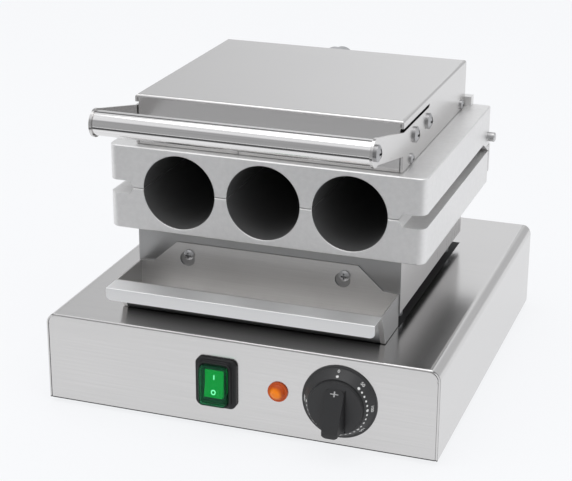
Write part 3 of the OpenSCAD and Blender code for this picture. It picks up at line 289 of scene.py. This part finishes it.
def grained_metal(name, colour, grain, rough, streak=0.03, bump=0.05, cloud=0.02, metallic=1, sheet=False):
    """A metal with a fine grain; on a sheet it runs along the mesh's own unfolded coordinates."""
    material, tree, surface = new_material(name)
    noise_low, noise_high, rough_vary, grain_depth = 0.3, 0.7, 0.02, 0.02 * MM
    surface["Metallic"].default_value = metallic
    lines = noise(tree, scale=1, detail=3, stretch=grain, kind="UV" if sheet else "Object")
    clouds = noise(tree, scale=9)

    def level(pattern, middle, vary):
        return ranged(tree, pattern, noise_low, noise_high, middle - vary, middle + vary)

    shade = calc(tree, "MULTIPLY", level(lines, 1, streak), level(clouds, 1, cloud))
    roughness = calc(tree, "ADD", level(lines, rough, rough_vary), level(clouds, 0, cloud))
    feed(tree, mix_of(tree, 1, (*colour, 1), shade, blend="MULTIPLY"), surface["Base Color"])
    feed(tree, roughness, surface["Roughness"])
    feed(tree, relief(tree, lines, bump, grain_depth), surface["Normal"])
    return material


def where(tree, *tests):
    """One where every test holds and zero elsewhere; a test is a value, < or >, and a limit."""
    share = 1
    for value, sign, limit in tests:
        holds = calc(tree, "LESS_THAN" if sign == "<" else "GREATER_THAN", value, limit)
        share = calc(tree, "MULTIPLY", share, holds)
    return share


def overlay(material, share, grey, rough, metallic=0):
    """Puts another finish over a metal where the share is one; its grey is a number or a socket."""
    tree = material.node_tree
    surface = tree.nodes["Principled BSDF"].inputs
    if not isinstance(grey, bpy.types.NodeSocket):
        grey = (grey, grey, grey, 1)
    for name, value in (("Base Color", grey), ("Metallic", metallic), ("Roughness", rough)):
        below = surface[name].links[0].from_socket if surface[name].links else surface[name].default_value
        kind = "RGBA" if name == "Base Color" else "FLOAT"
        feed(tree, mix_of(tree, share, below, value, kind), surface[name])


def finish(node, material):
    """Gives a CAD node its material."""
    piece = frame["nodes"][node]
    if not piece.material_slots:
        piece.data.materials.append(material)
    for slot in piece.material_slots:
        slot.material = material


def softened_copy(node, body, width, material, segments=3, fold=None, fold_r=0.0):
    """A copy of a CAD node with eased edges; edges whose ends pass the fold test get a wider bend."""
    bpy.ops.object.select_all(action="DESELECT")
    source = frame["nodes"][node]
    piece = source.copy()
    piece.data = source.data.copy()
    piece.parent = None
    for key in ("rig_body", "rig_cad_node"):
        if key in piece:
            del piece[key]
    piece.name = node + "_finished"
    bpy.context.scene.collection.objects.link(piece)
    piece.matrix_world = Matrix.Identity(4)
    piece.select_set(True)
    bpy.context.view_layer.objects.active = piece
    bpy.ops.object.mode_set(mode="EDIT")
    bpy.ops.mesh.select_all(action="SELECT")
    bpy.ops.mesh.remove_doubles(threshold=0.002 * MM)
    bpy.ops.mesh.customdata_custom_splitnormals_clear()
    bpy.ops.mesh.dissolve_limited(angle_limit=radians(0.5))
    if fold:
        bpy.ops.mesh.select_all(action="DESELECT")
        bpy.ops.mesh.select_mode(type="EDGE")
        bpy.ops.object.mode_set(mode="OBJECT")
        for edge in piece.data.edges:
            edge.select = all(fold(piece.data.vertices[i].co) for i in edge.vertices)
        bpy.ops.object.mode_set(mode="EDIT")
        bpy.ops.mesh.bevel(offset=fold_r, offset_type="OFFSET", segments=4, affect="EDGES")
    bpy.ops.object.mode_set(mode="OBJECT")
    ease = piece.modifiers.new("eased_edges", "BEVEL")
    ease.width = width
    ease.segments = segments
    ease.limit_method = "ANGLE"
    ease.angle_limit = radians(35)
    bpy.ops.object.modifier_apply(modifier=ease.name)
    bpy.ops.object.mode_set(mode="EDIT")
    bpy.ops.mesh.select_all(action="SELECT")
    bpy.ops.uv.cube_project(cube_size=1)
    bpy.ops.object.mode_set(mode="OBJECT")
    bpy.ops.object.shade_smooth_by_angle(angle=radians(40))
    even = piece.modifiers.new("even_faces", "WEIGHTED_NORMAL")
    even.keep_sharp = True
    bpy.ops.object.modifier_apply(modifier=even.name)
    piece.data.materials.clear()
    piece.data.materials.append(material)
    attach(piece, body)
    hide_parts(node)


casing_steel = grained_metal("casing_steel", (0.645, 0.636, 0.63), grain=(12, 900, 1), rough=0.2, sheet=True)
casing_low, casing_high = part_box("base_cover")
riser_low, riser_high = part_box("riser_box")
casing = casing_steel.node_tree
casing_place, casing_facing = axes_of(casing), axes_of(casing, "Normal")
from_middle = calc(casing, "ABSOLUTE", casing_place["X"])
# Painted shade: the casing's top is dark and dull in the narrow gap under the riser.
gap_shade_grey, gap_shade_rough = 0.02, 0.7
shade_under_riser = where(casing, (from_middle, "<", riser_high.x),
                    (casing_place["Y"], ">", riser_low.y), (casing_place["Y"], "<", riser_high.y))
overlay(casing_steel, shade_under_riser, gap_shade_grey, gap_shade_rough)
seam_grey, seam_rough = 0.06, 0.6
edge_height, edge_depth = 0.9 * MM, 1 * MM
# Darker along the lower front edge.
dark_lower_edge = where(casing, (casing_place["Z"], "<", casing_low.z + edge_height),
                 (casing_place["Y"], "<", casing_low.y + edge_depth))
overlay(casing_steel, dark_lower_edge, seam_grey, seam_rough)
bend_reach, seam_depth, facing_front = 6 * MM, 0.8 * MM, -0.9
side_seam = where(casing, (from_middle, ">", casing_high.x - bend_reach),
                  (casing_place["Y"], "<", casing_low.y + seam_depth),
                  (casing_facing["Y"], ">", facing_front))
overlay(casing_steel, side_seam, seam_grey, seam_rough)
softened_copy("base_cover", "base", 0.6 * MM, casing_steel)
zinc_plate = grained_metal("zinc_plate", (0.5, 0.51, 0.52), grain=(120, 120, 120), rough=0.42,
                           streak=0.1, cloud=0.06)
finish("base_bottom_plate", zinc_plate)


# Feet: four moulded black rubber feet, each held by a screw in its recess.
# The rubber is matt and has a faint moulded grain.
def moulded(name, colour, rough, grain=900, bump=0.25, vary=0.12, shine=0.5):
    """A moulded plastic or rubber: one colour with a fine grain in its shade, roughness and relief."""
    material, tree, surface = new_material(name)
    rough_vary, grain_depth = 0.06, 0.03 * MM
    surface["Specular IOR Level"].default_value = shine
    specks = noise(tree, grain)
    dark, light = [(*[part * change for part in colour], 1) for change in (1 - vary, 1 + vary)]
    feed(tree, mix_of(tree, specks, dark, light), surface["Base Color"])
    feed(tree, ranged(tree, specks, 0, 1, rough - rough_vary, rough + rough_vary), surface["Roughness"])
    feed(tree, relief(tree, specks, bump, grain_depth), surface["Normal"])
    return material


black_rubber = moulded("black_rubber", (0.025, 0.025, 0.026), rough=0.75)
softened_copy("rubber_feet", "base", 0.5 * MM, black_rubber)


# Screws and bolts: turned steel with pan heads and cross recesses, or hex heads inside.
# They are bright, with fine turning marks.
bright_steel = grained_metal("bright_steel", (0.45, 0.45, 0.455), grain=(500, 500, 500), rough=0.32,
                             streak=0.06, bump=0.08)
for node in ("bottom_screws", "foot_screws", "thermostat_screws", "tie_bolts", "lower_clamp_bolts",
             "upper_clamp_bolts", "rail_screws", "rear_bar_screws", "bracket_bolts", "tray_screws",
             "lid_screws_large", "lid_screws_small", "handle_screws"):
    finish(node, bright_steel)


# Electric parts in the casing and the cord entry at the rear.
# Terminal block, thermostat and lamp bodies are ceramic, the gland and its nut are black nylon,
# and the thermostat's tube and bulb are drawn copper.
ivory = moulded("ivory_ceramic", (0.72, 0.69, 0.6), rough=0.5, grain=400)
for node in ("terminal_block", "thermostat_body", "pilot_lamp_body"):
    finish(node, ivory)
nylon = moulded("black_nylon", (0.03, 0.03, 0.032), rough=0.45)
softened_copy("cord_gland", "base", 0.5 * MM, nylon)
finish("cord_gland_nut", nylon)
copper = grained_metal("drawn_copper", (0.72, 0.4, 0.27), grain=(200, 200, 200), rough=0.3, streak=0.08)
for node in ("thermostat_capillary", "thermostat_bulb"):
    finish(node, copper)


# Rocker switch: a black bezel with a raised frame, a clear green splash cover,
# and a lit green rocker that can be seen through the cover.
def lit(material, colour, strength):
    """Makes a plastic glow: the rocker from a lamp behind it, its marks as painted light."""
    surface = material.node_tree.nodes["Principled BSDF"].inputs
    surface["Emission Color"].default_value = (*colour, 1)
    surface["Emission Strength"].default_value = strength


bezel_black = moulded("bezel_black", (0.016, 0.016, 0.017), rough=0.42, shine=0.3)
softened_copy("switch_bezel", "base", 0.9 * MM, bezel_black, segments=4)
finish("switch_body", bezel_black)
rocker_green = moulded("rocker_green", (0, 0.36, 0.09), rough=0.35,
                       grain=300, bump=0.05, vary=0.06, shine=0.2)
lit(rocker_green, (0, 0.5, 0.1), 0.25)
softened_copy("switch_rocker", "rocker", 0.5 * MM, rocker_green)
cover_green, cover, cover_surface = new_material("cover_green")
cover_surface["Transmission Weight"].default_value = 0.96
cover_surface["IOR"].default_value = 1.12
cover_film = noise(cover, scale=160)
cover_tint = mix_of(cover, cover_film, (0.2, 0.8, 0.46, 1), (0.28, 0.9, 0.55, 1))
feed(cover, cover_tint, cover_surface["Base Color"])
feed(cover, ranged(cover, cover_film, 0, 1, 0.04, 0.1), cover_surface["Roughness"])
softened_copy("switch_boot", "base", 0.9 * MM, cover_green, segments=4)


# Marks on the rocker: a white I above and a white O below, printed on its two faces.
# They carry a painted glow, brighter than the rocker's, and follow its tilt.
def ink(name, colour):
    """A thin matt print on plastic."""
    return moulded(name, colour, rough=0.55, grain=600, bump=0.05, vary=0.04)


def printed(words, size, bold, name, matrix, material):
    """A printed sign: thin letters about the origin, turned into a mesh and then set in place."""
    bpy.ops.object.select_all(action="DESELECT")
    bpy.ops.object.text_add()
    sign = bpy.context.object
    sign.data.body = words
    sign.data.size = size
    sign.data.offset = bold
    sign.data.extrude = 0.05 * MM
    bpy.ops.object.convert(target="MESH")
    sign = bpy.context.object
    sign.name = name
    bpy.ops.object.origin_set(type="ORIGIN_GEOMETRY", center="BOUNDS")
    sign.matrix_world = matrix
    bpy.context.view_layer.update()
    bpy.ops.object.transform_apply(location=True, rotation=True, scale=True)
    sign.data.materials.clear()
    sign.data.materials.append(material)
    return sign


# Painted glow: the marks glow brighter than the rocker, to stay white behind the green cover.
mark_print_glow = ink("mark_print_glow", (0.8, 0.8, 0.8))
lit(mark_print_glow, (1, 1, 1), 1.2)
panel_y = casing_low.y
rocker_low, rocker_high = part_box("switch_rocker")
bezel_low, bezel_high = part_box("switch_bezel")
pivot_in, print_out = 3 * MM, 0.03 * MM
rocker_pivot = Vector(((rocker_low.x + rocker_high.x) / 2, panel_y + pivot_in,
                       (bezel_low.z + bezel_high.z) / 2))
rest_tilt, face_tilt = radians(-7), radians(6.2)
face_mid, face_end, face_reach = 9.2 * MM, 10.4 * MM, 11 * MM
mark_size, mark_bold = 5.4 * MM, 0.12 * MM
for words, height, wide in (("I", 5.3 * MM, 1), ("O", -6.8 * MM, 0.9)):
    face = face_mid + (face_end - face_mid) * abs(height) / face_reach + print_out
    tilt = rest_tilt + (face_tilt if height > 0 else -face_tilt)
    place = rocker_pivot + Matrix.Rotation(rest_tilt, 3, "X") @ Vector((0, -face, height))
    turned = Matrix.Translation(place) @ Matrix.Rotation(pi / 2 + tilt, 4, "X")
    mark = printed(words, mark_size, mark_bold, "rocker_mark_" + words,
                   turned @ Matrix.Diagonal((wide, 1, 1, 1)), mark_print_glow)
    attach(mark, "rocker")


# Pilot lamp: a clear amber lens with a turned rim.
# It is lit: the glow is brightest low at the left and fades to a dark crescent at the upper right.
def reach(tree, across, height):
    """Distance from an axis, from the two offsets square to it."""
    squares = [calc(tree, "MULTIPLY", offset, offset) for offset in (across, height)]
    return calc(tree, "SQRT", calc(tree, "ADD", *squares))


lamp_amber, amber, amber_surface = new_material("lamp_amber")
lamp_low, lamp_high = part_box("pilot_lamp_lens")
glow_mid = (lamp_low + lamp_high) / 2 + Vector((-1.2, 0, -0.9)) * MM
glow_start, glow_end, glow_grain = 3.6 * MM, 7 * MM, 1.2 * MM
amber_place = axes_of(amber)
glow_reach = reach(amber, calc(amber, "SUBTRACT", amber_place["X"], glow_mid.x),
                   calc(amber, "SUBTRACT", amber_place["Z"], glow_mid.z))
glow_reach = calc(amber, "MULTIPLY_ADD", noise(amber, scale=420), glow_grain, glow_reach)
glow_fall = ranged(amber, glow_reach, glow_start, glow_end, 0, 1, smooth=True)
for name, bright, dull in (("Base Color", (0.85, 0.21, 0.01, 1), (0.5, 0.075, 0.01, 1)),
                           ("Emission Color", (1, 0.28, 0, 1), (0.2, 0.02, 0, 1))):
    feed(amber, mix_of(amber, glow_fall, bright, dull), amber_surface[name])
for name, value in (("Emission Strength", 0.15), ("Roughness", 0.12), ("Specular IOR Level", 0.25)):
    amber_surface[name].default_value = value
softened_copy("pilot_lamp_lens", "base", 0.35 * MM, lamp_amber)


# Thermostat scale: a hollow black cone on a flat rim, with a white dot scale and numbers.
# The knob turns in its open front.
scale_black = moulded("scale_black", (0.03, 0.03, 0.031), rough=0.42)
softened_copy("scale_cone", "base", 0.35 * MM, scale_black)
cone_low, cone_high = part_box("scale_cone")
dial_x, dial_z = (cone_low.x + cone_high.x) / 2, (cone_low.z + cone_high.z) / 2
cone_out, rim_out = panel_y - cone_low.y, 1.5 * MM
face_r, foot_r = 22.5 * MM, 28 * MM


def on_cone(angle, radius, out=0.0):
    """Matrix of a mark on the cone: its Z along the surface's normal and its Y away from the middle."""
    turn = radians(angle)
    outwards = Vector((sin(turn), 0, cos(turn)))
    share = (radius - face_r) / (foot_r - face_r)
    depth = cone_out + (rim_out - cone_out) * share
    slope = (outwards * (foot_r - face_r) + Vector((0, 1, 0)) * (cone_out - rim_out)).normalized()
    sideways = Vector((cos(turn), 0, -sin(turn)))
    normal = sideways.cross(slope)
    point = Vector((dial_x, panel_y - depth, dial_z)) + outwards * radius + normal * out
    spin = Matrix((sideways, slope, normal)).transposed().to_4x4()
    return Matrix.Translation(point) @ spin


white_print = ink("white_print", (0.78, 0.78, 0.77))
dot_ring, big_dot, small_dot, dot_flatness = 23.9 * MM, 1.15 * MM, 0.85 * MM, 0.15
first_angle, dot_step, dots = 45, 9, 26
scale_marks = []
for angle in (0, *[first_angle + dot_step * i for i in range(dots)]):
    dot_r = small_dot if angle % first_angle else big_dot
    bpy.ops.mesh.primitive_uv_sphere_add(segments=16, ring_count=8, radius=dot_r)
    dot = bpy.context.object
    dot.scale = (1, 1, dot_flatness)
    bpy.ops.object.transform_apply(scale=True)
    bpy.ops.object.shade_smooth()
    dot.matrix_world = on_cone(angle, dot_ring)
    bpy.context.view_layer.update()
    bpy.ops.object.transform_apply(location=True, rotation=True, scale=True)
    dot.data.materials.append(white_print)
    scale_marks.append(dot)
number_ring, number_size, number_bold, number_out = 26.6 * MM, 3.7 * MM, 0.03 * MM, 0.02 * MM
numbers, degrees_apart = 7, 50
for i in range(numbers):
    scale_marks.append(printed(str(degrees_apart * i), number_size, number_bold, "scale_number",
                               on_cone(first_angle * i, number_ring, number_out), white_print))
bpy.ops.object.select_all(action="DESELECT")
for mark in scale_marks:
    mark.select_set(True)
bpy.context.view_layer.objects.active = scale_marks[0]
bpy.ops.object.join()
scale_print = bpy.context.object
scale_print.name = "scale_print"
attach(scale_print, "base")


# Thermostat knob: a moulded black disc with a wedge grip, pressed on the spindle.
# A thin light cross marks the pointer end of the grip.
knob_black = moulded("knob_black", (0.024, 0.024, 0.025), rough=0.5, grain=1100, bump=0.3)
softened_copy("thermostat_knob", "knob", 0.55 * MM, knob_black, segments=4)
finish("thermostat_spindle", bright_steel)
pale_print = ink("pale_print", (0.42, 0.42, 0.42))
grip_slope, cross_height, cross_out = radians(27), 12.4 * MM, 14.1 * MM
cross_size, cross_stretch = 7.4 * MM, (1.8, 1.2, 1, 1)
cross_place = Vector((dial_x, panel_y - cross_out, dial_z + cross_height))
cross_turn = Matrix.Translation(cross_place) @ Matrix.Rotation(pi / 2 - grip_slope, 4, "X")
cross = printed("+", cross_size, 0.0, "knob_cross", cross_turn @ Matrix.Diagonal(cross_stretch), pale_print)
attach(cross, "knob")


# Riser: a folded stainless box under the lower plate, on four spacer tubes, with a rubber bush for wires.
# Its sides are brushed upright, its front has painted shade, and its underside has painted shade in the
# narrow gap.
riser_steel = grained_metal("riser_steel", (0.66, 0.65, 0.645), grain=(900, 12, 1), rough=0.3,
                            streak=0.015, bump=0.01, sheet=True)
riser = riser_steel.node_tree
face_margin, mainly = 0.05 * MM, 0.5
# Painted shade: the riser's front is a darker grey than its sides.
riser_front_shade = where(riser, (axes_of(riser, "Normal")["Y"], "<", -mainly))
# Painted shade: the riser's underside is dark in the narrow gap.
riser_underside_shade = where(riser, (axes_of(riser)["Z"], "<", riser_low.z + face_margin))
overlay(riser_steel, riser_front_shade, grey=0.46, rough=0.3, metallic=1)
overlay(riser_steel, riser_underside_shade, gap_shade_grey, gap_shade_rough)
softened_copy("riser_box", "base", 0.5 * MM, riser_steel)
finish("riser_spacers", zinc_plate)
finish("wiring_bush", black_rubber)


# Crumb tray: folded stainless, hung on the two screws of the riser by keyholes.
# Its lip is flat and ends in a short skirt with round corners. Lip and skirt carry a painted paler
# reflection, the right end has painted shade, and the underside has painted shade that darkens downwards.
tray_steel = grained_metal("tray_steel", (0.75, 0.74, 0.73), grain=(12, 900, 1), rough=0.42, sheet=True)
tray_low, tray_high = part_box("crumb_tray")
lip_edge, lip_depth, end_wall = tray_low.y + 2 * face_margin, 18 * MM, 4 * MM
lip_z = max(corner.co.z for corner in frame["nodes"]["crumb_tray"].data.vertices if corner.co.y < lip_edge)
dark_height, pale_height, dark_below, pale_below, partly = 1 * MM, 12 * MM, 0.03, 0.6, 0.2
tray = tray_steel.node_tree
tray_place, tray_facing = axes_of(tray), axes_of(tray, "Normal")
# Painted reflection: lip and skirt are paler than the rest of the tray.
tray_lip_painted_sheen = where(tray, (tray_place["Y"], "<", tray_low.y + lip_depth))
# Painted shade: the right end is greyer.
tray_end_shade = where(tray, (tray_facing["X"], ">", mainly))
# Painted shade: the underside darkens downwards.
tray_underside_shade = where(tray, (calc(tray, "ABSOLUTE", tray_place["X"]), "<", tray_high.x - end_wall),
                       (tray_facing["Z"], "<", -partly))
shade_below = ranged(tray, tray_place["Z"], tray_low.z + dark_height, tray_low.z + pale_height,
                    dark_below, pale_below)
overlay(tray_steel, tray_lip_painted_sheen, grey=0.92, rough=0.5, metallic=1)
overlay(tray_steel, tray_end_shade, grey=0.45, rough=0.42, metallic=1)
overlay(tray_steel, tray_underside_shade, shade_below, rough=0.6)
softened_copy("crumb_tray", "tray", 0.15 * MM, tray_steel, segments=2,
              fold=lambda corner: corner.y < lip_edge and corner.z > lip_z - 2 * face_margin, fold_r=0.9 * MM)


# Plates: two thick machined aluminium plates, satin outside, with a dull black coating in the cavities.
# The coating stops at the small bright chamfer of each mouth, and the lower plate's underside has painted
# shade.
plate_aluminium = grained_metal("plate_aluminium", (0.82, 0.815, 0.81), grain=(260, 260, 260), rough=0.42,
                                bump=0.08, cloud=0.03, metallic=0.7)
plate_low, plate_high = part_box("lower_plate")
half_gap, cavities = 0.15 * MM, 3
cavity_pitch, cavity_r, cavity_depth = 70 * MM, 30.08 * MM, 180.5 * MM
plates = plate_aluminium.node_tree
plate_place = axes_of(plates)
along_row = calc(plates, "ADD", plate_place["X"], cavity_pitch * (cavities + 0.5))
across = calc(plates, "SUBTRACT", calc(plates, "MODULO", along_row, cavity_pitch), cavity_pitch / 2)
height = calc(plates, "SUBTRACT", plate_place["Z"], plate_high.z + half_gap)
coated = where(plates, (reach(plates, across, height), "<", cavity_r),
               (calc(plates, "ABSOLUTE", plate_place["X"]), "<", cavity_pitch * cavities / 2),
               (plate_place["Y"], "<", plate_low.y + cavity_depth))
# Painted shade: the lower plate's underside is dark and dull.
plate_underside_shade = where(plates, (plate_place["Z"], "<", plate_low.z + face_margin))
overlay(plate_aluminium, coated, grey=0.11, rough=0.6)
overlay(plate_aluminium, plate_underside_shade, grey=0.15, rough=0.6)
for node, body in (("lower_plate", "base"), ("upper_plate", "lid")):
    softened_copy(node, body, 0.1 * MM, plate_aluminium, segments=2)


# Heating parts inside riser and lid: dark tube elements, clamp plates and wool pads.
# They are hidden while the press is whole.
dark_sheath = grained_metal("dark_sheath", (0.16, 0.15, 0.14), grain=(150, 150, 150), rough=0.5,
                            streak=0.2, bump=0.1, cloud=0.1)
wool = moulded("mineral_wool", (0.6, 0.52, 0.3), rough=0.9, grain=350, bump=0.8, vary=0.3)
for node in ("lower_heater", "upper_heater"):
    finish(node, dark_sheath)
for node in ("lower_clamp_plate", "upper_clamp_plate", "lid_brackets"):
    finish(node, zinc_plate)
for node in ("lower_insulation", "lid_insulation"):
    finish(node, wool)


# Hinge: an aluminium rail behind the lower plate, a steel pin through both plates, and a bar on the
# upper one. The pin's ends stand out at the sides.
bar_aluminium = grained_metal("bar_aluminium", (0.82, 0.815, 0.81), grain=(12, 500, 1), rough=0.42,
                              metallic=0.7, sheet=True)
softened_copy("hinge_rail", "base", 0.4 * MM, bar_aluminium, segments=2)
softened_copy("rear_bar", "lid", 0.5 * MM, bar_aluminium, segments=2)
pin_steel = grained_metal("pin_steel", (0.55, 0.55, 0.55), grain=(400, 60, 60), rough=0.28)
finish("hinge_pin", pin_steel)


# Lid: a folded stainless cover whose side walls run forward as the arms of the handle.
# It is screwed through its sides to brackets on the upper plate.
lid_steel = grained_metal("lid_steel", (0.665, 0.655, 0.648), grain=(12, 900, 1), rough=0.22, sheet=True)
softened_copy("lid_cover", "lid", 0.25 * MM, lid_steel, segments=2)


# Handle: a polished stainless tube between the arms, held by a screw in the nylon plug of each end.
# It mirrors the surround with only a trace of drawn lines.
polished = grained_metal("polished_tube", (0.76, 0.75, 0.745), grain=(6, 700, 1), rough=0.1,
                         streak=0.07, sheet=True)
softened_copy("handle_tube", "lid", 0.3 * MM, polished, segments=2)
finish("handle_plugs", nylon)


# Conduit: a smooth grey sleeve over the lid's wires, held by a metal gland at each end.
# It bends between base and lid.
gland_metal = grained_metal("gland_metal", (0.5, 0.5, 0.51), grain=(300, 300, 300), rough=0.34)
for node, body in (("hose_gland_base", "base"), ("hose_gland_lid", "lid")):
    softened_copy(node, body, 0.5 * MM, gland_metal)
sleeve_grey = moulded("sleeve_grey", (0.36, 0.365, 0.37), rough=0.5, grain=500)
hose_low, hose_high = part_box("wiring_hose")
hose_r, bend_r, sleeve_t = (hose_high.x - hose_low.x) / 2, 30 * MM, 1.5 * MM
hose_x, foot_y, crest_z = (hose_low.x + hose_high.x) / 2, hose_high.y - hose_r, hose_high.z - hose_r
rise_steps, bend_steps = 24, 24
bpy.ops.object.select_all(action="DESELECT")
bpy.ops.mesh.primitive_circle_add(vertices=32, radius=hose_r, location=(hose_x, foot_y, hose_low.z))
sleeve = bpy.context.object
sleeve.name = "conduit_sleeve"
bpy.ops.object.transform_apply(location=True)
bpy.ops.object.mode_set(mode="EDIT")
bpy.ops.mesh.select_all(action="SELECT")
rise = (crest_z - bend_r - hose_low.z) / rise_steps
for i in range(rise_steps):
    bpy.ops.mesh.extrude_region_move(TRANSFORM_OT_translate={"value": (0, 0, rise)})
bend_mid = (hose_x, foot_y - bend_r, crest_z - bend_r)
bpy.ops.mesh.spin(steps=bend_steps, angle=-pi / 2, center=bend_mid, axis=(1, 0, 0))
bpy.ops.mesh.extrude_region_move(TRANSFORM_OT_translate={"value": (0, hose_low.y - foot_y + bend_r, 0)})
bpy.ops.mesh.select_all(action="SELECT")
bpy.ops.mesh.remove_doubles(threshold=0.01 * MM)
bpy.ops.mesh.normals_make_consistent(inside=False)
bpy.ops.object.mode_set(mode="OBJECT")
wall = sleeve.modifiers.new("sleeve_wall", "SOLIDIFY")
wall.thickness = sleeve_t
wall.offset = -1
bpy.ops.object.modifier_apply(modifier=wall.name)
bpy.ops.object.shade_smooth_by_angle(angle=radians(50))
sleeve.data.materials.append(sleeve_grey)
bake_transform(sleeve)
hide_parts("wiring_hose")
